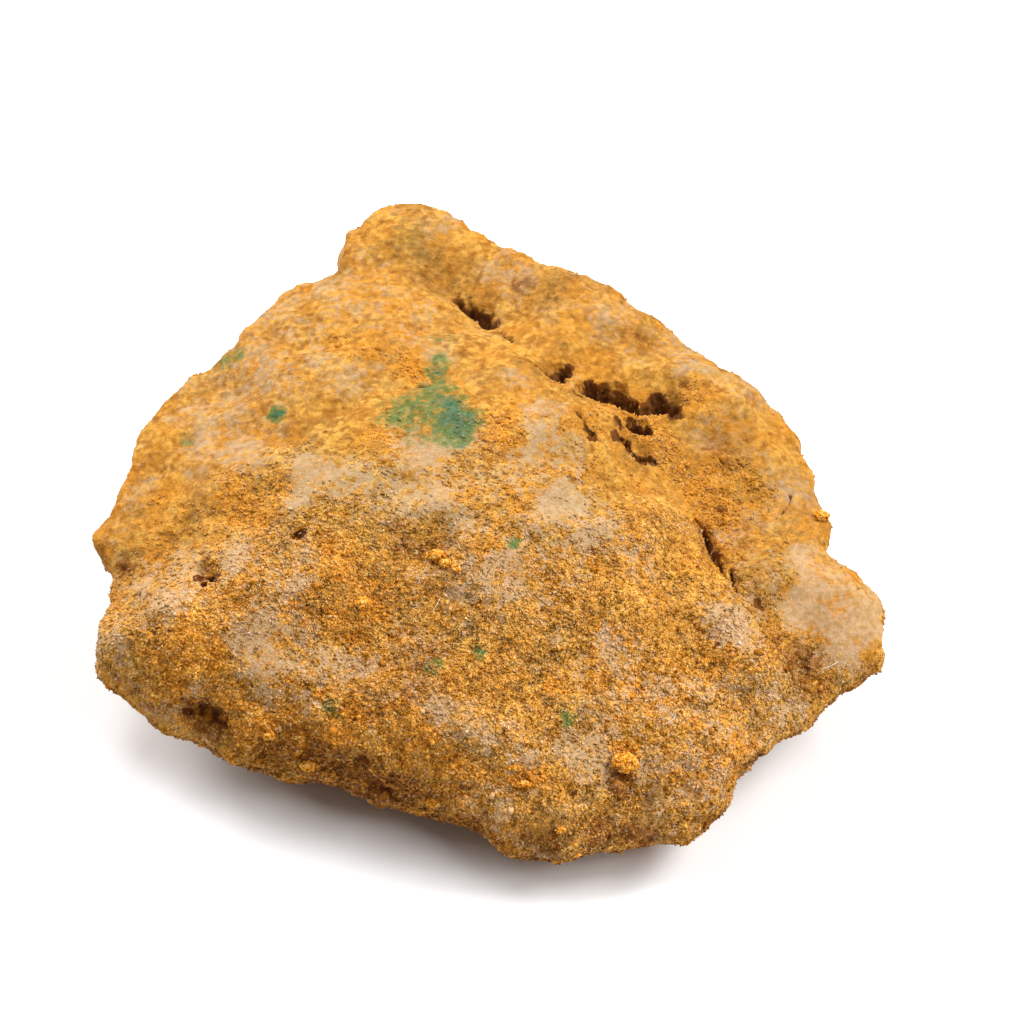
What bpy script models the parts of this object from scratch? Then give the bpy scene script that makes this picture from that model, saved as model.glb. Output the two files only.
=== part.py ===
"""A raw lump of iron-stained stone, about 44 mm across, lying on its flattest side.

The stone is one natural piece, so it is one solid. Its form is worked out in four steps:
a body lofted from its rim up to the crest and down to the foot, the medium relief that
weathering left on it, the pits, cracks and hollows, and the flat foot that it rests on.
+X is the stone's long side, towards its knob, +Y is its back, and +Z is up.
"""

import math

import bmesh
import bpy
import numpy as np
from mathutils import Vector, noise

MM = 0.001
SAME_PLACE = 1e-7

# Body, in millimetres
CREST = (-4.0, 14.2)  # (y, z) of the line where the front and back faces meet
FRONT_FALL = 0.50
BACK_FALL = 0.13
LEFT_FALL = 0.34
RIGHT_FALL = 0.30
LEFT_BREAK = (-9.0, 13.0)  # (x, z) where the left face starts to fall
RIGHT_BREAK = (7.0, 12.8)
RIDGE_ROUNDING = 1.6
FOOT_CUT = 0.62
POLE = (-2.0, -2.0)  # where the loft's rings close, in plan
RIM_FADE = 5.0  # how fast the rim's notches fade away inwards
RIM_BLUR = 11.0  # degrees over which the calm rim is smoothed

# The rim, going round as seen from above: (bearing in degrees from +X, reach, height)
RIM = [
    (3, 18.5, 8.5),
    (11, 17.9, 8.8),
    (18, 17.0, 9.0),
    (25, 16.3, 9.3),
    (30, 15.1, 9.5),  # notch at the back right
    (37, 15.6, 9.6),
    (46, 14.9, 9.8),
    (55, 14.8, 10.0),
    (65, 15.6, 10.0),
    (73, 16.0, 10.0),
    (78, 15.6, 10.0),
    (82, 15.9, 10.2),
    (90, 17.0, 10.3),
    (94, 18.6, 10.5),
    (97, 18.9, 10.5),
    (100, 20.5, 10.5),
    (106, 21.3, 10.5),  # the back peak
    (113, 20.0, 10.9),
    (116, 19.9, 11.0),
    (118.5, 17.3, 11.0),
    (122, 16.9, 10.8),
    (127, 17.6, 10.6),
    (132, 17.7, 10.5),
    (142, 17.3, 10.2),
    (146, 16.9, 10.2),
    (151, 17.1, 10.0),  # notch at the back left
    (155, 18.5, 9.7),
    (160, 19.3, 9.4),
    (168, 19.6, 9.0),
    (179, 20.0, 8.6),
    (183, 21.2, 8.4),
    (188, 21.9, 8.0),
    (193, 21.3, 7.4),
    (198, 21.4, 6.8),
    (202, 22.6, 6.2),
    (207, 23.2, 5.8),
    (213, 22.8, 5.2),
    (217, 22.1, 4.8),
    (223, 20.7, 4.4),
    (228, 20.3, 4.0),
    (234, 19.4, 3.8),
    (242, 18.6, 3.6),
    (247, 18.5, 3.4),  # the overhanging front
    (253, 18.4, 3.2),
    (259, 18.0, 3.2),
    (269, 19.1, 2.9),
    (275, 20.6, 2.5),
    (281, 21.5, 2.4),
    (287, 21.1, 2.5),
    (295, 21.8, 3.0),
    (301, 22.2, 3.6),
    (305, 22.0, 4.2),
    (309, 21.3, 4.6),
    (317, 21.2, 5.0),
    (323, 22.1, 5.4),
    (331, 22.7, 5.8),
    (336, 23.5, 6.0),  # the knob on the right
    (340, 23.2, 6.6),
    (345, 21.7, 7.0),
    (347, 19.8, 7.3),
    (350, 18.7, 7.6),  # notch behind the knob
    (352, 19.2, 8.0),
    (356, 18.9, 8.2),
]
# How square the shoulder above the rim is, by bearing: 2 is round, 6 is a wall
SHOULDER = [
    (0, 2.6),
    (60, 2.4),
    (120, 2.4),
    (180, 2.6),
    (215, 3.5),
    (235, 6.0),  # the brink at the front left
    (262, 6.0),
    (285, 3.4),
    (320, 2.6),
]
# How full the belly under the rim is, by bearing: 1.7 is undercut, 3 is a wall that turns in low down
BELLY = [
    (0, 2.3),
    (45, 2.9),
    (85, 3.1),  # the back wall
    (130, 3.0),
    (165, 2.6),
    (200, 2.0),
    (235, 1.75),  # the overhang at the front left
    (265, 1.8),
    (320, 2.0),
]

# Relief on the top: (points, half width, rise), where a fall is a rise below zero
FOLDS = [
    ([(-2.1, 13.2), (0.1, 10.9), (4.1, 6.3), (8.4, 4.1), (11.1, -0.2), (13.4, -7.0)], 1.7, -0.85),  # valley
    ([(2.5, 14.2), (8.6, 9.8), (12.9, 5.6), (15.8, 0.4)], 2.1, 0.50),  # swell between the valley and the rim
    ([(-14.2, 2.7), (-10.2, 0.6), (-7.6, 2.6)], 0.8, -0.40),  # crease on the left slope
    ([(-17.0, -10.0), (-12.2, -13.0), (-8.3, -14.3), (-2.7, -14.8), (1.5, -17.0)], 1.4, 0.40),  # brow
    ([(14.6, -7.0), (17.7, -6.2), (19.5, -6.8)], 1.1, 0.60),  # ridge that runs out to the knob
    ([(10.3, 5.2), (12.5, 1.8), (14.5, -1.2)], 0.7, -0.30),
    ([(12.4, -12.4), (14.4, -14.4)], 1.2, -0.60),
]
# (x, y), radius, rise
SWELLS = [
    ((20.2, -8.2), 2.2, 0.60),  # the knob
    ((17.2, -10.9), 2.3, -1.30),  # hollow in front of the knob
    ((-3.0, -6.7), 1.4, -0.60),  # hollow under the brow
    ((-5.7, -8.6), 2.6, -0.55),
    ((-1.5, -11.5), 2.0, 0.30),
    ((-13.2, -10.0), 2.6, -0.35),
    ((-16.3, -4.4), 1.8, 0.40),
    ((-5.6, 17.8), 2.2, 0.35),
    ((1.5, 13.8), 1.0, -0.35),
    ((6.8, -17.0), 0.9, -0.45),
    ((8.5, -18.6), 0.8, -0.45),
    ((10.8, -18.2), 0.9, -0.40),
    ((9.4, -16.2), 1.3, 0.40),
    ((4.0, -17.8), 1.5, 0.35),
    ((12.6, -10.2), 1.8, 0.35),
]
# (x, y, z), radius, fall: recesses in the dark wall below the brink
RECESSES = [
    ((-15.2, -14.0, 6.2), 1.5, 1.2),
    ((-7.8, -16.3, 5.0), 1.6, 0.9),
    ((-5.0, -16.7, 4.2), 1.2, 0.9),
    ((-18.5, -11.8, 6.2), 1.3, 0.5),
    ((-11.5, -15.4, 6.0), 1.1, 0.5),
]
# Pits: (x, y), radius, depth
PITS = [
    ((-1.5, 12.6), 0.32, 0.8),  # group near the back
    ((-0.9, 12.1), 0.40, 1.1),
    ((-0.2, 11.6), 0.44, 1.1),
    ((0.1, 11.1), 0.36, 0.9),
    ((3.6, 6.1), 0.40, 0.9),
    ((4.2, 6.6), 0.40, 1.0),
    ((5.7, 5.3), 0.48, 1.2),  # the large cavity
    ((6.5, 5.0), 0.58, 1.5),
    ((7.3, 5.1), 0.52, 1.4),
    ((7.9, 4.4), 0.56, 1.5),
    ((8.9, 4.3), 0.44, 1.2),
    ((9.6, 4.5), 0.48, 1.3),
    ((10.3, 4.7), 0.42, 1.0),
    ((8.2, 2.4), 0.54, 1.3),
    ((7.4, 1.6), 0.48, 1.1),
    ((8.5, 0.7), 0.54, 1.2),
    ((7.8, 0.9), 0.42, 1.0),
    ((5.6, 0.9), 0.28, 0.6),
    ((-15.1, -6.9), 0.36, 0.8),  # pair on the left slope
    ((-14.6, -7.2), 0.32, 0.7),
    ((-10.0, -6.0), 0.26, 0.5),
]
# The crack at the valley's end, and its half width and depth
CRACK = [(11.6, -3.4), (11.9, -4.0), (12.1, -4.9), (12.6, -5.6), (12.8, -6.3), (13.4, -7.3)]
CRACK_HALF_WIDTH = 0.22
CRACK_DEPTH = 0.9
PIT_RAGGEDNESS = 0.22
RAGGED_SIZE = 0.7
PIT_WALL = (0.35, 1.5)  # the shares of its radius between which a pit's wall falls
TOP_FACING = (0.25, 0.50)  # how far up a normal points where the relief of the top begins, and is whole
WALL_FACING = (0.30, 0.75)
FOOT_FACING = (0.80, 0.97)

# Weathering lumps over the whole stone: (size, rise). They run long along the stone's faint bedding.
LUMPS = [(5.0, 0.48), (2.3, 0.24), (1.4, 0.15)]
BEDDING_BEARING = 18.0
BEDDING_STRETCH = 1.7
NOISE_GAIN = 1.6
NOISE_SHIFT = 7.3
# Angular crags on the walls: size, rise and the height they rise and fall about
CRAG_SIZE = 2.1
CRAG_RISE = 0.45
CRAG_MIDDLE = 0.25
CRAG_GAIN = 1.8
RIM_CALM = 0.6  # share of the lumps that is left out at the rim
FOOT_CALM = 0.6  # share of all relief that is left out around the foot

# Mesh
RIM_STEPS = 240
RING_STEPS = 26
VOXEL = 0.30
STONE_TRIANGLES = 9300
STONE_COLOUR = (0.42, 0.22, 0.07, 1.0)
STONE_ROUGHNESS = 0.95


def clear_scene():
    for found in list(bpy.data.objects):
        bpy.data.objects.remove(found, do_unlink=True)


def smooth_step(low, high, value):
    share = np.clip((value - low) / (high - low), 0.0, 1.0)
    return share * share * (3.0 - 2.0 * share)


def smooth_lowest(first, second):
    """The lower of two heights, rounded where they meet."""
    share = np.clip(0.5 + 0.5 * (second - first) / RIDGE_ROUNDING, 0.0, 1.0)
    return second + (first - second) * share - RIDGE_ROUNDING * share * (1.0 - share)


def crown(x, y):
    """Height of the top before its shoulders round it off: broad weathered faces that meet at the crest."""
    height = CREST[1] + FRONT_FALL * (y - CREST[0])
    height = smooth_lowest(height, CREST[1] - BACK_FALL * (y - CREST[0]))
    height = smooth_lowest(height, LEFT_BREAK[1] + LEFT_FALL * (x - LEFT_BREAK[0]))
    return smooth_lowest(height, RIGHT_BREAK[1] - RIGHT_FALL * (x - RIGHT_BREAK[0]))


def around(marks, bearings, column=1):
    """A column of marks read at these bearings, going round past 360 degrees."""
    table = np.array(marks, float)
    return np.interp(bearings, table[:, 0], table[:, column], period=360.0)


def blurred(values):
    """Values round the rim with their notches smoothed away."""
    step = 360.0 / len(values)
    away = (np.arange(len(values)) * step + 180.0) % 360.0 - 180.0
    weights = np.exp(-((away / RIM_BLUR) ** 2))
    return np.real(np.fft.ifft(np.fft.fft(values) * np.fft.fft(weights / weights.sum())))


def loft_body():
    """The body's points and faces: rings from the crest's pole out to the rim and in again below it.

    The rim's notches fade away as the rings draw in, so they don't pleat the faces.
    """
    bearings = np.arange(RIM_STEPS) * 360.0 / RIM_STEPS
    angles = np.radians(bearings)
    reach, rim_z = around(RIM, bearings), around(RIM, bearings, 2)
    square, full = around(SHOULDER, bearings), around(BELLY, bearings)
    calm_reach, calm_z = blurred(reach), blurred(rim_z)
    rings = []
    for turn in np.linspace(0.0, math.pi, 2 * RING_STEPS + 1)[1:-1]:
        out = math.sin(turn)
        keep = out**RIM_FADE
        far = calm_reach + (reach - calm_reach) * keep
        edge_z = calm_z + (rim_z - calm_z) * keep
        x = POLE[0] + (far * np.cos(angles) - POLE[0]) * out
        y = POLE[1] + (far * np.sin(angles) - POLE[1]) * out
        if turn < math.pi / 2:
            rise = (1.0 - out**square) ** (1.0 / square)
            z = edge_z + (crown(x, y) - edge_z) * rise
        else:
            drop = (1.0 - out**full) ** (1.0 / full)
            z = edge_z * (1.0 - drop) - FOOT_CUT * drop
        rings.append(np.stack([x, y, z], axis=1))
    top = [[POLE[0], POLE[1], float(crown(np.array(POLE[0]), np.array(POLE[1])))]]
    bottom = [[POLE[0], POLE[1], -FOOT_CUT]]
    points = np.concatenate([top, *rings, bottom])
    faces = []
    last = len(rings) - 1
    for step in range(RIM_STEPS):
        after = (step + 1) % RIM_STEPS
        faces.append((0, 1 + step, 1 + after))
        for ring in range(last):
            a = 1 + ring * RIM_STEPS
            b = a + RIM_STEPS
            faces.append((a + step, b + step, b + after, a + after))
        a = 1 + last * RIM_STEPS
        faces.append((a + step, len(points) - 1, a + after))
    return points, faces


def mesh_object(name, points, faces):
    mesh = bpy.data.meshes.new(name)
    mesh.from_pydata([tuple(p) for p in points * MM], [], faces)
    made = bpy.data.objects.new(name, mesh)
    bpy.context.scene.collection.objects.link(made)
    return made


def apply_modifiers(made):
    """Puts the object's modified mesh in place of its own."""
    graph = bpy.context.evaluated_depsgraph_get()
    mesh = bpy.data.meshes.new_from_object(made.evaluated_get(graph))
    made.modifiers.clear()
    made.data = mesh


def even_mesh(made, size):
    remesh = made.modifiers.new("even_mesh", "REMESH")
    remesh.mode = "VOXEL"
    remesh.voxel_size = size * MM
    apply_modifiers(made)


def read_points(mesh):
    """The mesh's points in millimetres, and their normals."""
    points = np.empty(len(mesh.vertices) * 3, np.float32)
    normals = np.empty(len(mesh.vertices) * 3, np.float32)
    mesh.vertices.foreach_get("co", points)
    mesh.vertex_normals.foreach_get("vector", normals)
    return points.reshape(-1, 3).astype(float) / MM, normals.reshape(-1, 3).astype(float)


def write_points(mesh, points):
    mesh.vertices.foreach_set("co", (points * MM).astype(np.float32).ravel())
    mesh.update()


def noise_at(points, size, shift=0.0):
    """Smooth noise from about -1 to 1, with lumps of this size in millimetres."""
    scaled = points / size + shift
    return np.array([noise.noise(Vector(p)) for p in scaled]) * NOISE_GAIN


def along_bedding(points):
    """Points with the direction of the bedding squeezed, so that noise read there runs long that way."""
    turn = math.radians(BEDDING_BEARING)
    way = np.array([math.cos(turn), math.sin(turn), 0.0])
    return points + (points @ way)[:, None] * way * (1.0 / BEDDING_STRETCH - 1.0)


def crags_at(points, size):
    """1 in the middle of each angular lump, and 0 or less in the creases between them."""
    return np.array([1.0 - CRAG_GAIN * noise.voronoi(Vector(p))[0][0] for p in points / size])


def distance_to_line(points, line):
    """Distance in plan from each point to a line of (x, y) points."""
    best = np.full(len(points), np.inf)
    flat = points[:, :2]
    for start, end in zip(line[:-1], line[1:]):
        start, run = np.array(start), np.array(end) - np.array(start)
        along = np.clip(((flat - start) @ run) / (run @ run), 0.0, 1.0)
        best = np.minimum(best, np.linalg.norm(flat - start - along[:, None] * run, axis=1))
    return best


def hump(away, radius):
    """1 at the middle of a round hump, falling to 0 past its radius."""
    return np.exp(-((away / radius) ** 2))


def lumps_and_crags(points, normals):
    """How far weathering moves each point out along its normal."""
    wall = 1.0 - smooth_step(*WALL_FACING, np.abs(normals[:, 2]))
    bedded = along_bedding(points)
    rise = np.zeros(len(points))
    for step, (size, height) in enumerate(LUMPS):
        rise += height * noise_at(bedded, size, NOISE_SHIFT * step) * (1.0 - RIM_CALM * wall)
    rise += CRAG_RISE * (crags_at(points, CRAG_SIZE) - CRAG_MIDDLE) * wall
    rise *= 1.0 - FOOT_CALM * smooth_step(*FOOT_FACING, -normals[:, 2])
    for centre, radius, fall in RECESSES:
        rise -= fall * hump(np.linalg.norm(points - np.array(centre), axis=1), radius)
    return rise


def folds_and_swells(points):
    """How far the top is lifted at each point."""
    lift = np.zeros(len(points))
    for line, half_width, height in FOLDS:
        lift += height * hump(distance_to_line(points, line), half_width)
    for (x, y), radius, height in SWELLS:
        lift += height * hump(np.hypot(points[:, 0] - x, points[:, 1] - y), radius)
    return lift


def pits_and_crack(points):
    """How far the top is sunk at each point."""
    ragged = PIT_RAGGEDNESS * noise_at(points, RAGGED_SIZE)
    sunk = np.zeros(len(points))
    for (x, y), radius, depth in PITS:
        away = np.hypot(points[:, 0] - x, points[:, 1] - y) + ragged
        sunk = np.maximum(sunk, depth * (1.0 - smooth_step(PIT_WALL[0] * radius, PIT_WALL[1] * radius, away)))
    away = distance_to_line(points, CRACK) + ragged
    return np.maximum(sunk, CRACK_DEPTH * (1.0 - smooth_step(0.0, 2.0 * CRACK_HALF_WIDTH, away)))


def weather(stone):
    """Moves the stone's surface: lumps, crags and recesses all round, then the relief of its top."""
    points, normals = read_points(stone.data)
    top = smooth_step(*TOP_FACING, normals[:, 2])
    rise, lift, sunk = lumps_and_crags(points, normals), folds_and_swells(points), pits_and_crack(points)
    points += normals * rise[:, None]
    points[:, 2] += (lift - sunk) * top
    write_points(stone.data, points)


def thin_mesh(made, triangles):
    """Brings a mesh down to about this many triangles, keeping its form."""
    made.data.calc_loop_triangles()
    thin = made.modifiers.new("thin_mesh", "DECIMATE")
    thin.ratio = triangles / len(made.data.loop_triangles)
    thin.use_collapse_triangulate = True
    apply_modifiers(made)


def cut_foot(made):
    """Cuts the stone off flat at z = 0, so that it has a true flat face to rest on."""
    work = bmesh.new()
    work.from_mesh(made.data)
    everything = work.verts[:] + work.edges[:] + work.faces[:]
    cut = bmesh.ops.bisect_plane(
        work, geom=everything, dist=SAME_PLACE, plane_co=(0, 0, 0), plane_no=(0, 0, -1), clear_outer=True
    )
    rim = [piece for piece in cut["geom_cut"] if isinstance(piece, bmesh.types.BMEdge)]
    bmesh.ops.holes_fill(work, edges=rim, sides=0)
    bmesh.ops.dissolve_degenerate(work, dist=10.0 * SAME_PLACE, edges=work.edges[:])
    bmesh.ops.triangulate(work, faces=work.faces[:])
    bmesh.ops.recalc_face_normals(work, faces=work.faces[:])
    work.to_mesh(made.data)
    work.free()


def centre_on_origin(made):
    """Puts the middle of the stone's box over the origin."""
    points, _ = read_points(made.data)
    middle = (points.min(axis=0) + points.max(axis=0)) / 2.0
    points[:, :2] -= middle[:2]
    write_points(made.data, points)


def stone_material():
    material = bpy.data.materials.new("iron_stained_stone")
    material.use_nodes = True
    shader = material.node_tree.nodes["Principled BSDF"]
    shader.inputs["Base Color"].default_value = STONE_COLOUR
    shader.inputs["Roughness"].default_value = STONE_ROUGHNESS
    shader.inputs["Metallic"].default_value = 0.0
    return material


def main():
    clear_scene()
    stone = mesh_object("stone", *loft_body())
    even_mesh(stone, VOXEL)
    weather(stone)
    thin_mesh(stone, STONE_TRIANGLES)
    cut_foot(stone)
    centre_on_origin(stone)
    stone.data.materials.append(stone_material())


main()
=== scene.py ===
"""A lump of weathered, iron-stained rock with green traces of raw emerald, dressed in its sandy crust.

The solid in the frame gives the form. Over it this file makes a crumbly earth skin with pits, cracks and
smooth clay films, then a cover of sand grains, a few loose crumbs and three stray fibres, and the stage
to show it on.
Lengths are in millimetres unless a name or a property says otherwise, and the scene itself is in metres.
"""

import math

import bmesh
import bpy
import numpy as np
from bpy.props import FloatProperty, FloatVectorProperty, IntProperty, PointerProperty
from bpy.types import Operator, Panel, PropertyGroup
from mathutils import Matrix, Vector


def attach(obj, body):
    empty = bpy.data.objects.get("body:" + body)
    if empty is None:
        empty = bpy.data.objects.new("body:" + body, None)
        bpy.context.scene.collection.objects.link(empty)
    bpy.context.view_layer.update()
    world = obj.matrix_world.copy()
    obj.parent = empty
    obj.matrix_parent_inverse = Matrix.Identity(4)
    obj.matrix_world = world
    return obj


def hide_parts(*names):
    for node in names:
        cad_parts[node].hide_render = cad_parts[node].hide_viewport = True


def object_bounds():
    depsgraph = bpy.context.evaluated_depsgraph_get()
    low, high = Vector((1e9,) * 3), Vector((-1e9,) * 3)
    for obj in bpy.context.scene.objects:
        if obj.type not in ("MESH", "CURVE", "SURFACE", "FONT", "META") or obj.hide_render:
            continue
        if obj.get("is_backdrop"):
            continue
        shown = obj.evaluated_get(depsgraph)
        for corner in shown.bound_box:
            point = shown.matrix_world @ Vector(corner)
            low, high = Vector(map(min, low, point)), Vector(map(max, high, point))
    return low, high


bl_info = {
    "name": "Raw Stone Dresser",
    "version": (1, 0, 0),
    "blender": (4, 5, 0),
    "location": "View3D > Sidebar > Raw Stone",
    "description": "Dresses a plain stone solid with earth crust, sand, crumbs and fibres",
    "category": "Object",
}

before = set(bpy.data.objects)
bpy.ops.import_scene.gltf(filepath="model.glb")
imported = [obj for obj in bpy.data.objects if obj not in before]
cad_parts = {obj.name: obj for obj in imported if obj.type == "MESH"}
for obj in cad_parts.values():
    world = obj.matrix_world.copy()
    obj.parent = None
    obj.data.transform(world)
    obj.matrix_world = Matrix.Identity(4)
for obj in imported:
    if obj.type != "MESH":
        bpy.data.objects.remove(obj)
CAD_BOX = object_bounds()

NODE = "stone"
BODY = "root"
SURFACE_NAME = "stone_surface"
MM = 0.001

# Marks on the stone. Each is (x, y, z, reach, strength): a point on the skin, how far it spreads, and how
# strong it is.
CLAY_FILMS = [
    (-9.5, -2.1, 13.2, 1.7, 1.0),
    (-9.9, -3.6, 13.0, 1.2, 0.9),
    (-15.7, 0.3, 10.5, 1.0, 1.0),
    (-15.8, 2.8, 10.2, 0.9, 0.7),
    (-14.0, 3.9, 11.0, 1.3, 0.7),
    (-13.5, 1.4, 11.0, 1.2, 0.6),
    (-7.5, 4.4, 12.6, 1.5, 0.8),
    (-11.8, 11.7, 10.9, 1.4, 0.5),
    (-12.5, 7.8, 11.2, 1.5, 0.5),
    (-9.5, 8.0, 11.7, 1.1, 0.6),
    (-7.3, -3.4, 13.7, 1.3, 0.5),
    (0.2, 15.1, 11.3, 1.5, 0.5),
    (2.4, 14.0, 11.4, 1.3, 0.8),
    (8.0, 11.8, 11.0, 1.4, 0.5),
    (6.3, 10.0, 11.7, 1.0, 0.5),
    (11.4, 7.1, 11.4, 1.2, 0.8),
    (1.9, 4.8, 13.2, 1.3, 0.9),
    (2.8, -0.1, 13.7, 1.2, 0.8),
    (3.6, 2.5, 13.3, 1.3, 0.8),
    (-3.4, -1.6, 13.7, 1.6, 0.6),
    (-2.3, -4.1, 13.6, 1.5, 0.7),
    (-1.6, -0.9, 13.6, 0.6, 1.0),
    (-3.9, -4.4, 13.4, 1.3, 0.8),
    (3.9, -4.3, 13.3, 1.6, 0.7),
    (12.4, 0.1, 10.1, 0.7, 0.8),
    (18.1, -6.4, 9.4, 1.6, 1.0),
    (16.8, -4.9, 9.4, 1.1, 0.7),
    (18.7, -7.5, 9.0, 1.2, 0.7),
    (20.9, -7.9, 7.7, 1.4, 0.9),
    (19.8, -7.4, 8.5, 1.5, 0.9),
    (17.6, -7.7, 8.9, 1.6, 0.9),
    (19.5, -9.3, 7.4, 1.3, 0.7),
    (13.2, -10.2, 9.3, 1.4, 0.7),
    (8.6, -7.3, 11.1, 1.1, 0.6),
    (6.7, -11.1, 9.8, 1.3, 0.8),
    (-17.0, -8.3, 10.0, 1.4, 1.0),
    (-16.2, -9.6, 10.2, 1.0, 0.8),
    (-13.7, -6.2, 11.1, 1.0, 0.7),
    (-11.8, -10.7, 10.5, 1.5, 1.0),
    (-13.7, -10.9, 10.0, 0.9, 0.7),
    (-11.9, -12.7, 9.0, 1.6, 0.8),
    (-10.2, -7.9, 12.1, 1.3, 0.7),
    (-6.8, -12.5, 9.2, 1.3, 0.6),
    (-1.4, -6.0, 13.1, 1.4, 0.8),
    (0.8, -8.3, 12.3, 1.3, 0.8),
    (-1.9, -15.0, 8.9, 1.3, 0.8),
    (-0.8, -16.4, 8.2, 1.1, 0.6),
    (1.9, -17.1, 7.2, 1.0, 0.7),
    (5.4, -16.9, 6.8, 1.5, 0.9),
    (4.4, -15.9, 7.5, 1.0, 0.6),
    (8.8, -16.9, 6.4, 1.2, 0.6),
    (-18.2, -12.1, 5.4, 1.1, 0.5),
    (-4.3, -11.2, 10.1, 1.1, 0.5),
]
# Places that are greyer and a little darker than the skin round them.
GREY_PLACES = [
    (-2.5, -3.0, 13.6, 4.4, 0.55),
    (4.0, -3.0, 13.4, 4.4, 0.55),
    (-8.4, -2.2, 13.3, 3.6, 0.60),
    (14.7, -6.4, 10.1, 2.6, 0.60),
    (17.9, -11.4, 6.4, 2.0, 0.60),
    (-5.0, 16.4, 11.6, 2.2, 0.40),
]
# Places that are smoother than the skin round them.
SMOOTH_PLACES = [
    (-2.5, -3.0, 13.6, 4.2, 0.42),
    (4.0, -3.0, 13.4, 4.2, 0.42),
    (-8.4, -2.2, 13.3, 3.0, 0.25),
    (14.7, -6.4, 10.1, 2.6, 0.40),
    (-11.6, -11.5, 9.9, 1.8, 0.45),
    (18.7, -7.3, 8.6, 2.6, 0.8),
    (20.5, -8.5, 7.4, 1.8, 0.7),
    (3.6, -19.6, 5.0, 1.0, 0.7),
    (2.4, -20.0, 4.2, 1.0, 0.6),
    (9.0, -18.5, 4.9, 0.9, 0.7),
]
# Wider places where more clay shows than elsewhere.
CLAY_GROUNDS = [
    (-2.0, -3.0, 13.2, 7.0, 1.0),
    (18.0, -7.5, 8.6, 4.0, 1.0),
    (19.5, -7.5, 8.4, 3.0, 0.9),
    (3.0, -5.0, 13.0, 5.5, 0.8),
    (-13.5, 4.0, 11.0, 5.0, 0.9),
    (-11.0, 10.0, 11.0, 4.0, 0.7),
]
RUST_SPOTS = [
    (-17.1, -11.0, 9.0, 1.5, 0.9),
    (-14.9, -11.9, 8.8, 1.4, 0.9),
    (-13.9, -12.8, 7.8, 1.2, 0.7),
    (-15.7, -10.1, 10.3, 1.0, 0.8),
    (13.3, 0.4, 9.9, 1.5, 0.9),
    (8.4, 3.7, 11.6, 1.8, 0.9),
    (6.6, 3.9, 12.2, 1.4, 0.7),
    (6.2, 1.9, 12.6, 1.4, 0.6),
    (9.6, 1.6, 10.9, 1.8, 0.9),
    (4.6, 5.2, 12.4, 1.2, 0.6),
    (11.4, 5.2, 11.3, 1.4, 0.5),
    (14.9, -1.0, 9.4, 1.2, 0.6),
    (11.7, -1.4, 10.2, 1.8, 0.7),
    (-7.7, -14.9, 8.2, 1.8, 0.8),
    (-4.5, -15.0, 8.4, 1.2, 0.6),
    (-1.6, -14.0, 9.2, 1.2, 0.6),
    (-16.4, -11.6, 7.2, 1.4, 0.8),
    (-13.0, -13.9, 7.0, 1.6, 0.9),
    (-10.5, -15.2, 7.2, 1.6, 0.8),
    (-18.0, -10.3, 8.2, 1.2, 0.7),
    (-4.6, -16.2, 6.2, 1.5, 0.7),
    (-4.1, 5.6, 12.6, 1.7, 0.9),
    (-6.8, 6.9, 12.5, 1.3, 0.7),
    (-8.2, 8.5, 11.9, 1.2, 0.7),
    (1.2, 0.4, 13.8, 1.5, 1.0),
    (4.5, 0.6, 13.4, 1.0, 0.5),
    (10.1, 0.3, 10.6, 1.6, 0.8),
    (12.3, -0.7, 10.0, 1.6, 1.0),
    (12.6, -2.0, 9.7, 1.4, 1.0),
    (14.8, 0.1, 9.8, 1.0, 0.7),
    (11.5, -6.0, 10.4, 1.2, 0.6),
    (-17.0, -11.4, 8.6, 1.4, 0.9),
    (-15.5, -10.0, 10.4, 1.0, 0.8),
    (-4.8, -15.1, 8.8, 1.2, 0.8),
    (-3.4, -16.4, 7.2, 1.0, 0.8),
    (7.2, -16.5, 6.5, 0.9, 1.0),
    (-10.3, 5.5, 12.0, 1.2, 0.5),
    (-17.8, -0.4, 9.6, 1.0, 0.6),
    (-13.3, -2.8, 11.5, 1.2, 0.5),
    (8.1, -13.9, 8.3, 1.0, 0.5),
    (3.9, -13.6, 8.8, 1.0, 0.5),
]
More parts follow.
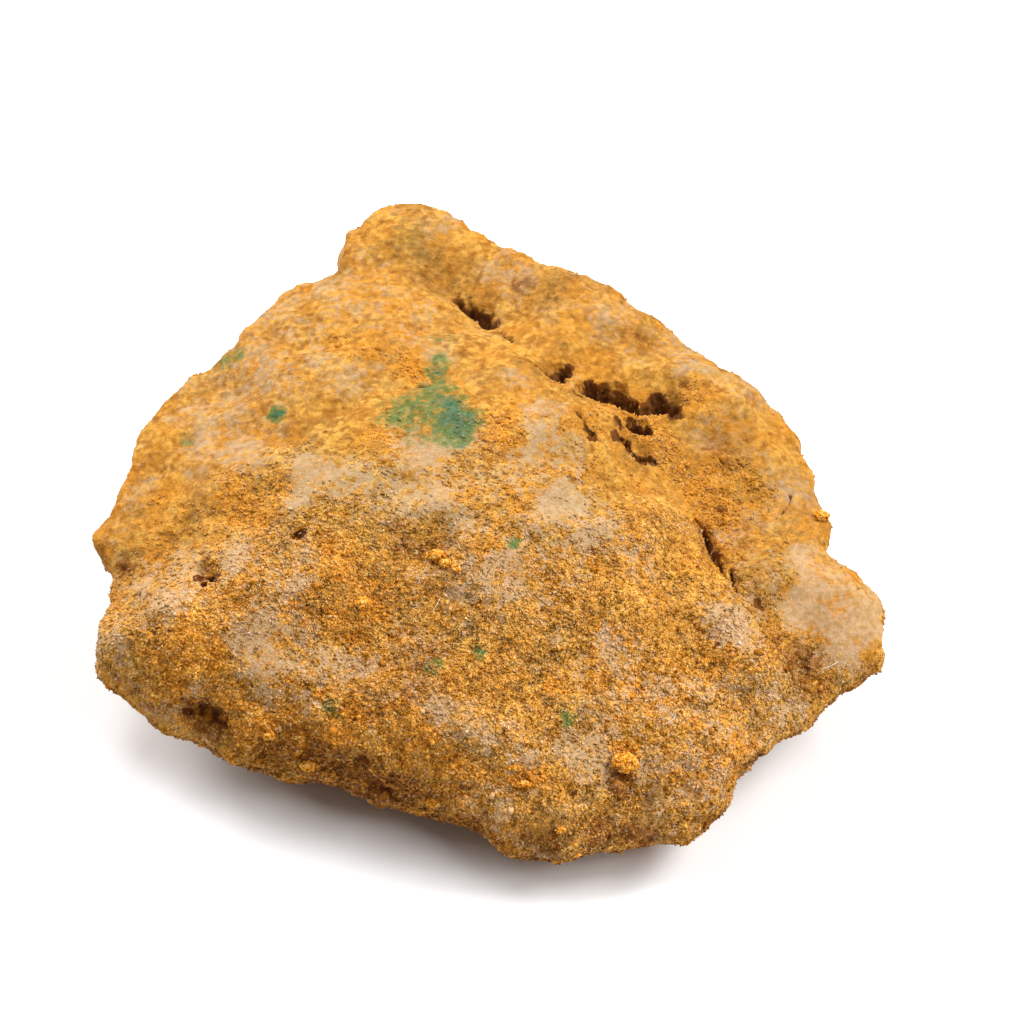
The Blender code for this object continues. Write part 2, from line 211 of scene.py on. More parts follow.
OLIVE_STAINS = [
    (-2.5, -3.0, 13.6, 3.0, 0.40),
    (4.0, -3.0, 13.4, 3.0, 0.40),
    (-8.4, -2.2, 13.3, 2.4, 0.45),
    (-5.0, 16.4, 11.6, 1.5, 0.8),
    (14.7, -6.6, 10.0, 1.6, 0.8),
    (-3.6, -7.1, 12.6, 1.4, 0.9),
    (3.6, -19.6, 5.0, 1.3, 1.0),
    (2.6, -20.1, 3.9, 1.0, 0.9),
    (9.2, -18.1, 5.2, 1.0, 0.9),
    (8.9, -18.8, 4.5, 1.0, 0.9),
    (5.9, -18.3, 6.0, 0.9, 0.9),
    (16.8, -12.3, 6.3, 1.6, 0.8),
    (19.0, -10.5, 6.5, 1.6, 0.8),
    (16.3, -9.4, 7.8, 1.2, 0.7),
    (20.5, -9.0, 7.0, 1.2, 0.6),
    (11.7, 2.5, 10.5, 1.4, 0.6),
    (-14.9, -1.6, 11.2, 1.6, 0.7),
    (-19.5, -3.3, 8.5, 1.3, 0.8),
    (-6.5, -6.8, 12.6, 1.6, 0.9),
    (-5.6, -8.1, 11.8, 1.5, 0.9),
    (-4.5, -9.6, 11.0, 1.3, 0.8),
    (1.6, -10.6, 10.9, 1.2, 0.5),
    (2.5, -12.5, 9.6, 1.2, 0.6),
    (-8.8, -15.2, 7.8, 1.3, 0.7),
    (-18.1, -9.0, 9.5, 1.2, 0.7),
    (-19.5, -10.8, 7.5, 1.1, 0.9),
    (13.1, 3.0, 10.7, 1.5, 0.7),
    (13.6, 1.0, 10.0, 1.2, 0.6),
    (17.1, -2.1, 9.1, 1.2, 0.9),
    (15.8, -3.1, 9.4, 1.1, 0.7),
    (15.9, -5.8, 10.0, 1.1, 0.7),
    (-9.9, 1.2, 12.2, 1.4, 0.5),
    (8.4, 9.5, 11.2, 1.3, 0.7),
    (-3.9, 17.6, 11.7, 1.6, 0.6),
    (-6.1, 15.9, 11.4, 1.4, 0.5),
    (-3.3, 16.0, 11.3, 1.2, 0.5),
    (4.1, 11.7, 11.8, 1.8, 0.6),
    (6.3, 10.2, 11.8, 1.6, 0.5),
    (11.3, 7.8, 11.1, 1.5, 0.6),
    (13.9, 3.7, 10.7, 1.6, 0.7),
    (16.1, 1.1, 9.6, 1.4, 0.6),
    (14.9, -1.0, 9.4, 1.3, 0.6),
    (-1.4, -10.5, 10.9, 1.3, 0.6),
    (8.5, -18.1, 4.9, 1.3, 0.7),
    (-8.2, -14.5, 8.7, 1.0, 0.6),
    (2.8, -19.6, 4.6, 1.6, 0.8),
    (-17.5, -12.7, 5.5, 1.2, 0.9),
    (-18.6, -11.8, 5.6, 1.0, 0.9),
    (17.1, -1.9, 9.1, 0.9, 0.9),
]
GREEN_STAINS = [
    (-3.5, 2.7, 13.3, 1.7, 0.75),
    (-2.4, 2.7, 13.4, 1.6, 0.9),
    (-1.7, 1.2, 13.6, 1.6, 0.9),
    (-1.5, 0.2, 13.6, 1.1, 0.7),
    (-4.7, 2.1, 13.3, 1.6, 0.52),
    (-3.4, 0.9, 13.5, 1.8, 0.55),
    (-2.7, 4.4, 13.0, 0.8, 0.8),
    (-2.7, 5.8, 12.7, 0.8, 0.8),
    (-2.6, 6.7, 12.5, 0.5, 0.6),
    (-2.7, 5.1, 12.8, 0.6, 0.8),
    (-2.5, 8.5, 12.1, 0.9, 0.4),
    (-14.2, 8.7, 10.5, 0.8, 0.6),
    (-14.9, 8.4, 10.3, 0.8, 0.6),
    (-11.5, 3.3, 11.7, 0.7, 1.2),
    (-2.6, -12.9, 9.8, 0.7, 0.7),
    (4.4, -15.1, 8.2, 0.5, 0.6),
    (-0.3, -12.3, 10.2, 0.6, 0.5),
    (1.6, -7.0, 13.2, 0.35, 0.8),
    (-16.6, 2.9, 10.0, 0.6, 0.5),
    (-8.2, -14.5, 8.7, 0.6, 0.45),
]
TEAL_STAINS = [
    (-1.7, 1.6, 13.6, 1.0, 1.0),
    (-1.3, 0.8, 13.6, 0.8, 0.8),
    (-2.2, 2.7, 13.4, 0.7, 0.6),
    (-1.6, -0.9, 13.6, 0.45, 0.45),
    (-11.4, 3.3, 11.7, 0.45, 0.8),
    (-2.7, 5.8, 12.7, 0.55, 0.6),
]
EMERALD_SPOTS = [
    (-11.5, 3.2, 11.7, 0.50, 1.0),
    (-2.7, 5.6, 12.7, 0.35, 0.7),
    (-1.9, 2.6, 13.4, 0.50, 0.7),
    (-2.7, 3.2, 13.3, 0.45, 0.6),
    (-3.9, 2.4, 13.4, 0.40, 0.5),
    (-2.6, -12.9, 9.8, 0.30, 0.6),
    (-1.2, 1.0, 13.6, 0.35, 0.5),
]
# Hollows of brown earth and painted shade, darkest on the front wall under the overhang.
BROWN_AND_SHADED_HOLLOWS = [
    (-8.5, -16.2, 4.6, 2.0, 0.95),
    (-7.0, -16.4, 5.0, 1.2, 0.80),
    (-4.5, -17.0, 4.6, 1.8, 0.95),
    (-11.5, -15.0, 5.2, 1.4, 0.6),
    (-3.5, -17.2, 4.2, 1.6, 0.8),
    (-6.0, -13.5, 9.0, 2.5, 0.3),
    (-3.0, -13.0, 9.5, 2.5, 0.3),
    (11.5, -0.8, 10.4, 2.2, 0.15),
    (14.0, -3.2, 9.8, 1.8, 0.30),
    (10.0, 1.5, 10.8, 1.8, 0.15),
    (13.3, 2.0, 10.2, 1.8, 0.38),
    (14.5, -7.0, 9.5, 1.8, 0.34),
    (17.0, -11.0, 6.6, 2.0, 0.38),
    (-2.5, 14.5, 11.0, 2.2, 0.32),
    (3.5, 12.5, 11.2, 2.0, 0.32),
    (3.9, -19.9, 4.3, 0.9, 0.4),
    (1.8, -19.8, 4.4, 0.9, 0.4),
    (6.0, -19.4, 4.1, 1.0, 0.8),
    (8.0, -19.2, 3.6, 1.2, 0.9),
    (8.4, -18.1, 4.9, 0.8, 0.4),
    (7.2, -17.6, 5.8, 0.9, 0.95),
    (16.3, -9.9, 7.6, 1.2, 0.35),
    (15.7, -9.5, 8.1, 0.7, 0.5),
    (17.9, -11.4, 6.2, 1.0, 0.4),
    (12.7, -2.0, 9.7, 0.45, 0.7),
    (14.0, -4.4, 9.7, 0.35, 0.7),
    (-15.0, -12.8, 5.6, 1.2, 1.0),
    (-14.0, -13.5, 5.8, 1.0, 1.0),
    (-6.7, -16.3, 5.8, 1.6, 0.9),
    (-5.9, -16.6, 4.2, 2.0, 1.0),
    (-9.8, -15.7, 6.3, 1.8, 0.7),
    (-4.3, -6.9, 12.6, 1.0, 0.60),
    (-2.7, -7.0, 12.6, 1.0, 0.70),
    (-5.6, -9.4, 11.4, 0.9, 0.35),
    (17.2, -10.4, 7.0, 1.2, 0.35),
    (-19.7, -4.6, 8.1, 0.7, 0.8),
    (1.7, 13.5, 11.1, 0.7, 0.5),
    (10.8, 5.9, 11.2, 0.3, 0.9),
    (12.4, 5.9, 11.3, 0.4, 0.6),
    (3.1, -20.0, 4.2, 1.2, 0.7),
    (-15.7, -12.7, 5.8, 0.8, 1.0),
    (-7.5, -15.8, 4.7, 1.2, 0.8),
    (-5.3, -16.6, 4.0, 1.0, 0.9),
    (1.6, 13.6, 11.1, 0.35, 0.7),
    (0.0, 13.0, 10.9, 0.4, 0.6),
    (8.0, 9.7, 11.3, 0.9, 0.4),
    (9.1, 9.1, 11.1, 0.9, 0.45),
]

# The deepest hollows in the front wall, sunk into the skin and filled with nearly black painted shade.
DEEP_HOLLOWS = [
    (-15.9, -12.7, 5.8, 0.35, 0.9),
    (-15.2, -12.7, 5.8, 0.45, 1.0),
    (-14.6, -13.0, 5.8, 0.45, 1.0),
    (-14.0, -13.5, 5.7, 0.40, 1.0),
    (-6.6, -16.3, 6.3, 0.45, 0.9),
    (-7.8, -15.8, 4.9, 0.40, 0.8),
    (-6.1, -16.5, 4.3, 0.45, 0.9),
    (-5.3, -16.7, 4.0, 0.45, 1.0),
    (17.2, -10.6, 6.6, 0.35, 0.6),
    (-19.8, -4.7, 7.9, 0.30, 0.7),
]
HOLLOW_SINK = 0.32  # how far the skin is sunk there
MARK_EDGE = (0.35, 1.35)  # the shares of its reach where a mark begins to fade and where it ends

# Pits in the top, (x, y, radius, depth), and the cracks, (half width, depth, the points that each runs
# through).
PITS = [
    (-1.6, 12.7, 0.22, 0.6),
    (-1.3, 12.4, 0.26, 0.8),
    (-0.9, 12.1, 0.30, 1.0),
    (-0.5, 11.9, 0.28, 0.9),
    (-0.1, 11.7, 0.32, 0.9),
    (0.2, 11.3, 0.30, 0.8),
    (0.1, 10.9, 0.22, 0.6),
    (3.6, 6.1, 0.34, 0.9),
    (3.9, 6.3, 0.34, 0.9),
    (4.2, 6.7, 0.32, 1.0),
    (4.5, 6.9, 0.20, 0.6),
    (5.7, 5.8, 0.32, 1.0),
    (5.9, 5.3, 0.34, 1.0),
    (6.5, 5.5, 0.40, 1.2),
    (7.1, 5.3, 0.40, 1.2),
    (7.6, 5.0, 0.40, 1.2),
    (7.9, 4.8, 0.44, 1.3),
    (8.4, 4.5, 0.24, 0.9),
    (8.9, 4.8, 0.34, 1.0),
    (9.4, 5.1, 0.40, 1.2),
    (9.8, 4.9, 0.44, 1.3),
    (10.3, 4.5, 0.42, 1.2),
    (10.4, 4.0, 0.30, 0.9),
    (5.6, 1.0, 0.17, 0.5),
    (5.7, 0.5, 0.12, 0.4),
    (7.2, 1.2, 0.32, 1.0),
    (7.5, 1.2, 0.34, 1.1),
    (7.2, 2.4, 0.16, 0.4),
    (8.0, 2.9, 0.30, 0.9),
    (8.4, 2.6, 0.36, 1.1),
    (8.8, 2.5, 0.26, 0.8),
    (7.9, 0.6, 0.30, 0.9),
    (8.2, 0.4, 0.36, 1.1),
    (8.6, 0.5, 0.34, 1.0),
    (9.0, 0.3, 0.24, 0.7),
    (8.4, 0.0, 0.22, 0.7),
    (6.9, 7.9, 0.06, 0.2),
    (1.2, 1.3, 0.12, 0.3),
    (14.5, -8.1, 0.11, 0.4),
    (15.0, -8.3, 0.07, 0.3),
    (12.2, -10.7, 0.08, 0.3),
    (12.7, -2.0, 0.08, 0.3),
    (-15.4, -7.1, 0.20, 0.6),
    (-14.7, -7.2, 0.26, 0.7),
    (-15.0, -7.6, 0.14, 0.5),
    (-10.0, -6.0, 0.20, 0.5),
]
CRACKS = [
    (0.10, 0.55, [(11.4, -3.0), (11.7, -3.2), (12.0, -3.8), (12.1, -4.4), (12.4, -4.8), (12.6, -5.6)]),
    (0.12, 0.60, [(12.6, -5.3), (12.7, -6.3), (12.8, -6.6)]),
    (0.10, 0.55, [(13.2, -5.9), (13.3, -6.4), (13.2, -6.8), (13.4, -7.6)]),
    (0.05, 0.30, [(12.5, -9.0), (12.8, -9.1), (13.1, -9.1)]),
    (0.08, 0.35, [(0.6, 10.4), (1.0, 9.5), (1.4, 8.8)]),
    (0.07, 0.30, [(1.7, 6.9), (2.5, 6.3), (3.3, 5.9)]),
    (0.08, 0.35, [(4.7, 5.4), (5.1, 4.8), (5.5, 4.5)]),
    (0.07, 0.30, [(4.9, 2.1), (5.2, 1.7), (5.5, 1.2)]),
    (0.04, 0.30, [(16.7, -0.2), (16.5, -1.1), (16.0, -1.8)]),
]
TOP_SIDE = 6.5  # pits and cracks are only above this height
PIT_SPREAD = 0.04  # how far a pit's torn edge lies outside its radius
PIT_RAGGED = [(0.40, 0.13), (0.16, 0.10)]  # the cell and reach of each size of tear in its edge
PIT_WALL = 0.09  # half the width of a pit's sloping wall
PIT_DARK = 0.20  # how far outside a pit's radius its shade ends, at most
PIT_SHARE = 0.55  # of a pit's depth, cut here over what the solid already has

# Relief of the skin: (cell, height) of each size of swell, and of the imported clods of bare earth.
SWELLS = [(2.4, 0.13), (1.2, 0.09)]
CLODS = [(0.85, 0.13), (0.46, 0.08)]
CLOD_DROP = 0.07  # bare earth lies this much lower than the clay film
JITTER = 0.016  # spread of the fine grit
JITTER_SEED = 7
FOOT_FADE = 0.6  # the relief fades out below this height
FILM_EDGE = (0.42, 0.58)  # the clay value where the film starts and where it is whole

# The skin is sandiest where it lies far forward and up: the way that is measured, where the sand starts
# and where it is at its fullest, and the least share anywhere.
SANDY_WAY = (0.0, -0.64, 0.77)
SANDY_RUN = (6.3, 15.2)
LEAST_SANDY = 0.12
TURNED_SANDY = 0.7  # how sandy the faces turned the other way are
RUSTY_SANDY = 0.60  # how sandy the rusty places are
NEAR_RUN = (6.0, 13.0)  # how far forward grains begin to differ more in tone, and where they differ most
UNDER_BROWN_AND_SHADE = 0.78  # how much brown and painted shade the overhanging and lower faces get

# Loose crumbs, (x, y, z, radius, stretch), and the fibres' ends with how far each bows. The points lie near
# the skin and are moved onto it.
CRUMBS = [
    (-2.7, -7.5, 12.8, 0.36, 1.2),
    (-2.2, -8.0, 12.6, 0.26, 1.0),
    (-6.5, -9.7, 11.3, 0.34, 1.1),
    (-1.5, -8.3, 12.4, 0.24, 1.0),
    (7.3, -17.0, 6.8, 0.60, 1.0),
    (1.9, -18.05, 6.65, 0.22, 2.2),
    (1.6, -17.45, 7.1, 0.17, 2.2),
    (18.3, -1.7, 8.9, 0.34, 1.0),
    (-9.4, -15.8, 5.1, 0.30, 1.3),
    (-11.6, -14.8, 6.6, 0.26, 1.2),
    (-2.6, -17.4, 4.3, 0.30, 1.2),
    (4.1, -20.0, 4.9, 0.22, 1.0),
]
FIBRES = [
    ((9.5, -15.2, 8.0), (10.4, -14.6, 8.3), 0.16),
    ((18.4, -11.2, 7.6), (19.1, -10.8, 7.4), 0.12),
    ((-2.8, -9.9, 11.0), (-2.4, -9.4, 11.3), 0.06),
]
FIBRE_RADIUS = 0.018
FIBRE_LIFT = 0.10  # how far a fibre's middle rises over its ends
FIBRE_STEPS = 12
CRUMB_GRAINS = 160  # in a crumb of CRUMB_MIDDLE radius
CRUMB_MIDDLE = 0.3
CRUMB_RAISE = 0.5  # how far a crumb's middle lies above the skin, as a share of its radius
CRUMB_SEED = 211

# Camera and lamps. The camera looks at AIM from straight in front, ELEVATION degrees above the floor.
AIM = (1.382, -0.213, 7.5)
ELEVATION = 50.0
# Each lamp's turn from straight behind the stone towards its right, its height, both in degrees, and its
# watts.
LAMPS = [
    ("back_lamp", -40.0, 22.0, 1.21),
    ("top_lamp", -40.0, 68.0, 0.59),
    ("right_lamp", 80.0, 45.0, 1.21),
    ("front_right_lamp", 120.0, 45.0, 0.50),
    ("left_lamp", -80.0, 45.0, 0.28),
]
LAMP_SIZE = 160.0
LAMP_DISTANCE = 350.0
SENSOR_WIDTH = 36.0
CLIP_RANGE = (0.005, 10.0)  # metres
FLOOR_HALF = 1.5  # metres


class StoneSizes(PropertyGroup):
    """Sizes of the fine surface, the sand and the crumbs."""

    surface_cell: FloatProperty(
        name="Surface Cell",
        description="Size of the cells that the skin is rebuilt from",
        default=0.00020,
        min=0.00010,
        subtype="DISTANCE",
        unit="LENGTH",
        precision=5,
    )
    relief: FloatProperty(
        name="Relief",
        description="Strength of the skin's lumps, as a share of their full height",
        default=1.0,
        min=0.0,
        max=3.0,
        subtype="FACTOR",
    )
    grain_radius: FloatProperty(
        name="Grain Radius",
        description="Middle radius of the sand grains",
        default=0.000088,
        min=0.00002,
        subtype="DISTANCE",
        unit="LENGTH",
        precision=6,
    )
    grain_cover: FloatProperty(
        name="Grain Cover",
        description="Share of the full number of sand grains that are scattered",
        default=1.0,
        min=0.0,
        max=1.0,
        subtype="FACTOR",
    )
    surface_faces: IntProperty(
        name="Surface Faces",
        description="Most triangles that the skin may have",
        default=190000,
        min=10000,
    )


def colour_property(name, description, default):
    """A colour that the user can pick, in linear light."""
    return FloatVectorProperty(
        name=name, description=description, default=default, min=0.0, max=1.0, size=3, subtype="COLOR"
    )


class StoneColours(PropertyGroup):
    """Colours of the earth, its stains and its sand."""

    pale_ochre: colour_property("Pale Ochre", "Sunlit yellow-brown earth", (0.660, 0.336, 0.060))
    deep_ochre: colour_property("Deep Ochre", "Darker brown earth between", (0.480, 0.200, 0.026))
    rust: colour_property("Rust", "Bright iron-orange patches", (0.640, 0.240, 0.017))
    clay: colour_property("Clay", "Smooth grey-mauve clay film", (0.455, 0.298, 0.163))
    olive: colour_property("Olive", "Dull olive-brown patches", (0.28, 0.165, 0.046))
    green: colour_property("Green", "Green mineral stain", (0.095, 0.165, 0.044))
    teal: colour_property("Teal", "Blue-green heart of the stain", (0.070, 0.150, 0.088))
    emerald: colour_property("Emerald", "The small spots of deep green", (0.022, 0.105, 0.045))
    # brown is dark earth and dark grains, and also painted shade in hollows, crevices, pits and under the
    # overhang
    brown: colour_property("Brown", "Dark earth in hollows and dark grains", (0.150, 0.038, 0.004))
    # the pit shade is painted shade for the pits, the cracks and the deepest hollows
    shade: colour_property("Pit Shade", "Nearly black earth deep in the pits", (0.125, 0.042, 0.012))
    # gold is the colour of golden grains, painted bright enough to stand in for glints as well
    gold: colour_property("Gold", "Bright golden sand grains", (0.85, 0.56, 0.18))
    fibre: colour_property("Fibre", "Pale stray fibres", (0.80, 0.76, 0.66))


class StageSettings(PropertyGroup):
    """The floor, lamps and camera."""

    floor_tone: colour_property("Floor", "Plain pale floor", (0.90, 0.90, 0.90))
    camera_distance: FloatProperty(
        name="Camera Distance",
        description="From the camera to the point that it looks at",
        default=0.235,
        min=0.05,
        subtype="DISTANCE",
        unit="LENGTH",
    )
    lens: FloatProperty(
        name="Lens",
        description="Focal length of the camera in millimetres",
        default=150.0,
        min=20.0,
        unit="CAMERA",
    )
    light: FloatProperty(
        name="Light",
        description="Strength of all the lamps, as a share of their powers",
        default=1.0,
        min=0.0,
        max=10.0,
        subtype="FACTOR",
    )
    sky: FloatProperty(
        name="Sky",
        description="Strength of the even white light from all round",
        default=0.15,
        min=0.0,
    )


# ---------------------------------------------------------------- numbers


def smooth_step(low, high, value):
    """0 below low, 1 above high and a smooth rise between."""
    part = np.clip((value - low) / (high - low), 0.0, 1.0)
    return part * part * (3.0 - 2.0 * part)


def lattice_value(x, y, z, seed):
    """A repeatable value from -1 to 1 for each whole-number point."""
    mixed = (x * 73856093) ^ (y * 19349663) ^ (z * 83492791) ^ (seed * 2654435761)
    mixed = (mixed ^ (mixed >> 13)) * 1274126177
    mixed = mixed ^ (mixed >> 16)
    return (mixed & 0xFFFF) / 32767.5 - 1.0


def lumps(points, cell, seed):
    """Smooth noise from -1 to 1 with lumps about one cell across."""
    scaled = points / cell
    corner = np.floor(scaled).astype(np.int64)
    part = scaled - corner
    part = part * part * (3.0 - 2.0 * part)
    total = np.zeros(len(points))
    for step in np.ndindex(2, 2, 2):
        weight = np.prod(np.where(np.array(step), part, 1.0 - part), axis=1)
        total += weight * lattice_value(*(corner + step).T, seed)
    return total


def clods(points, cell, seed):
    """Rounded clods packed side by side: 1 at the middle of each and 0 in the crevices."""
    scaled = points / cell
    corner = np.floor(scaled).astype(np.int64)
    nearest = np.full(len(points), 9.0)
    for step in np.ndindex(3, 3, 3):
        here = corner + step - 1
        middle = [here[:, axis] + 0.5 + 0.45 * lattice_value(*here.T, seed + axis) for axis in range(3)]
        nearest = np.minimum(nearest, np.linalg.norm(scaled - np.stack(middle, axis=1), axis=1))
    return 1.0 - smooth_step(0.2, 0.9, nearest)


def marks_at(points, marks):
    """How strongly a list of marks shows at each point, from 0 to about 1."""
    left = np.ones(len(points))
    for x, y, z, reach, strength in marks:
        away = np.linalg.norm(points - (x, y, z), axis=1) / reach
        left *= 1.0 - np.clip(strength * (1.0 - smooth_step(*MARK_EDGE, away)), 0.0, 0.98)
    return 1.0 - left


def pit_depths(points):
    """Depth of the pits and the cracks at each point, and how far inside one it is, from 0 to 1."""
    shift = sum(reach * lumps(points, cell, 11 + number) for number, (cell, reach) in enumerate(PIT_RAGGED))
    uneven = 1.0 + 0.35 * lumps(points, 0.3, 17)
    depth = np.zeros(len(points))
    inside = np.zeros(len(points))
    for x, y, radius, deep in PITS:
        away = np.hypot(points[:, 0] - x, points[:, 1] - y) - PIT_SPREAD + shift
        within = 1.0 - smooth_step(radius - PIT_WALL, radius + PIT_WALL, away)
        depth = np.maximum(depth, within * deep * PIT_SHARE * uneven)
        inside = np.maximum(inside, 1.0 - smooth_step(radius, radius + min(PIT_DARK, radius), away))
    for half_width, deep, run_through in CRACKS:
        for start, end in zip(run_through, run_through[1:]):
            start, end = np.array(start), np.array(end)
            run = end - start
            along = np.clip((points[:, :2] - start) @ run / (run @ run), 0.0, 1.0)
            away = np.linalg.norm(points[:, :2] - start - along[:, None] * run, axis=1) + shift * 0.5
            within = 1.0 - smooth_step(half_width - PIT_WALL, half_width + PIT_WALL, away)
            depth = np.maximum(depth, within * deep)
            inside = np.maximum(inside, within)
    top = points[:, 2] > TOP_SIDE
    return depth * top, inside * top


def wander(points, cell, reach, seed):
    """Points moved a little, so that round marks drawn at them come out as irregular patches."""
    return points + np.stack([lumps(points, cell, seed + axis) for axis in range(3)], axis=1) * reach


def cloud(points, cell, seed):
    """Noise from -1 to 1 in three sizes, the largest a cell across."""
    parts = ((1.0, 0.45), (0.5, 0.27), (0.25, 0.18), (0.12, 0.10))
    return sum(share * lumps(points, cell * size, seed + step) for step, (size, share) in enumerate(parts))


def stains_at(points, normals):
    """The strength of each stain and of the painted shade at each point, by name, and how sandy the skin is
    there.
    """
    near = wander(points, 0.6, 0.25, 24)
    moved = wander(near, 1.7, 0.7, 21)
    rusty = marks_at(moved, RUST_SPOTS)
    clay = 0.50 * marks_at(moved, CLAY_FILMS) - 0.40 * rusty + 0.74 * cloud(points, 3.2, 31) + 0.25
    clay += 0.20 * marks_at(moved, CLAY_GROUNDS)
    rust = 0.50 * rusty + 0.75 * cloud(points, 2.2, 41) + 0.26
    olive = 0.45 * marks_at(moved, OLIVE_STAINS) + 0.70 * cloud(points, 2.0, 51) + 0.18
    _, inside = pit_depths(points)
    deep = marks_at(near, DEEP_HOLLOWS)
    sandy = smooth_step(*SANDY_RUN, points @ np.array(SANDY_WAY))
    far = 1.0 - sandy
    turned = smooth_step(0.05, 0.35, -normals @ np.array(SANDY_WAY))
    sandy = np.maximum(sandy, np.maximum(TURNED_SANDY * turned, RUSTY_SANDY * rusty))
    sandy = LEAST_SANDY + (1.0 - LEAST_SANDY) * sandy + 0.15 * lumps(points, 2.5, 61)
    # faces turned down, under the overhang: they get brown and painted shade, and less clay
    under = smooth_step(-0.25, 0.55, -normals[:, 2] + 0.25 * lumps(points, 1.6, 71))
    sandy = np.clip(sandy * (1.0 - 0.7 * marks_at(moved, SMOOTH_PLACES)), 0.0, 1.0)
    clay -= 0.10 * (1.0 - sandy) + 0.25 * under
    return {
        "clay": np.clip(clay, 0.0, 1.0),
        "rust": np.clip(rust, 0.0, 1.0),
        "olive": np.clip(olive, 0.0, 1.0),
        "green": marks_at(near, GREEN_STAINS),
        "teal": marks_at(near, TEAL_STAINS),
        "emerald": marks_at(near, EMERALD_SPOTS),
        "low": under,
        "far": far,
        "grey": marks_at(moved, GREY_PLACES),
        "near": smooth_step(*NEAR_RUN, -points[:, 1]),
        # the hollows' brown and painted shade, with that of the faces turned down
        "hollow": np.maximum(marks_at(near, BROWN_AND_SHADED_HOLLOWS), UNDER_BROWN_AND_SHADE * under),
        "deep": deep,
        # painted shade inside the pits, the cracks and the deepest hollows
        "pit": np.maximum(inside, deep),
        "sandy": sandy,
    }


# ---------------------------------------------------------------- meshes


def read_points(mesh):
    """The mesh's vertices in millimetres."""
    flat = np.empty(len(mesh.vertices) * 3)
    mesh.vertices.foreach_get("co", flat)
    return flat.reshape(-1, 3) / MM


def write_points(mesh, points):
    """Moves the mesh's vertices to points in millimetres."""
    mesh.vertices.foreach_set("co", (points * MM).ravel())
    mesh.update()


def read_normals(mesh):
    """The direction that the skin faces at each vertex."""
    flat = np.empty(len(mesh.vertices) * 3, np.float32)
    mesh.vertex_normals.foreach_get("vector", flat)
    return flat.reshape(-1, 3).astype(float)


def keep_in_box(points):
    """Points brought inside the solid's box."""
    low, high = (np.array(corner) / MM for corner in CAD_BOX)
    return np.clip(points, low, high)


def write_values(mesh, values):
    """Stores each named list of numbers on the vertices, for the materials to read."""
    for name, numbers in values.items():
        layer = mesh.attributes.new(name, "FLOAT", "POINT")
        layer.data.foreach_set("value", np.asarray(numbers, np.float32))


def modified(thing, kind, **settings):
    """Gives the object one modifier and bakes it into the mesh."""
    modifier = thing.modifiers.new(kind.title(), kind)
    for name, value in settings.items():
        setattr(modifier, name, value)
    bpy.context.view_layer.update()
    found = bpy.data.meshes.new_from_object(thing.evaluated_get(bpy.context.evaluated_depsgraph_get()))
    thing.modifiers.clear()
    old = thing.data
    thing.data = found
    bpy.data.meshes.remove(old)


def new_piece(name, mesh):
    """A new object with this mesh, in the scene."""
    piece = bpy.data.objects.new(name, mesh)
    bpy.context.scene.collection.objects.link(piece)
    mesh.name = name
    return piece


def finish_piece(piece, material):
    """Gives the piece its material and the body that it rides on, and hides the node that it replaces."""
    piece.data.materials.clear()
    piece.data.materials.append(material)
    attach(piece, BODY)
    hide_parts(NODE)


def mesh_from_parts(name, points, faces):
    """A mesh from arrays of points in millimetres and of triangles."""
    mesh = bpy.data.meshes.new(name)
    mesh.vertices.add(len(points))
    mesh.loops.add(faces.size)
    mesh.polygons.add(len(faces))
    mesh.vertices.foreach_set("co", (points * MM).ravel())
    mesh.loops.foreach_set("vertex_index", faces.ravel().astype(np.int32))
    mesh.polygons.foreach_set("loop_start", np.arange(0, faces.size, 3, dtype=np.int32))
    mesh.update(calc_edges=True)
    return mesh


def surface_piece():
    """The finished skin, which sand, crumbs and fibres sit on."""
    skin = bpy.data.objects.get(SURFACE_NAME)
    if skin is None:
        raise RuntimeError("build the surface first")
    return skin


def on_skin(skin, point, lift):
    """The place on the skin that is nearest to a point in millimetres, raised by the lift."""
    found, place, way, _ = skin.closest_point_on_mesh(Vector(point) * MM)
    if not found:
        raise RuntimeError("the skin has no faces")
    return place / MM + way * lift


def refine_near_pits(mesh):
    """Splits the faces round the pits and the cracks, so that their edges are crisp."""
    made = bmesh.new()
    made.from_mesh(mesh)
    middles = np.array([face.calc_center_median() for face in made.faces]) / MM
    near = np.zeros(len(middles), bool)
    for x, y, radius, _ in PITS:
        near |= np.hypot(middles[:, 0] - x, middles[:, 1] - y) < radius + 0.4
    for _, _, run_through in CRACKS:
        for x, y in run_through:
            near |= np.hypot(middles[:, 0] - x, middles[:, 1] - y) < 0.6
    near &= middles[:, 2] > TOP_SIDE
    made.faces.ensure_lookup_table()
    edges = {edge for index in np.flatnonzero(near) for edge in made.faces[index].edges}
    edges = sorted(edges, key=lambda edge: edge.index)
    bmesh.ops.subdivide_edges(made, edges=edges, cuts=1, use_grid_fill=True)
    bmesh.ops.triangulate(made, faces=made.faces[:])
    made.to_mesh(mesh)
    made.free()
    mesh.update()


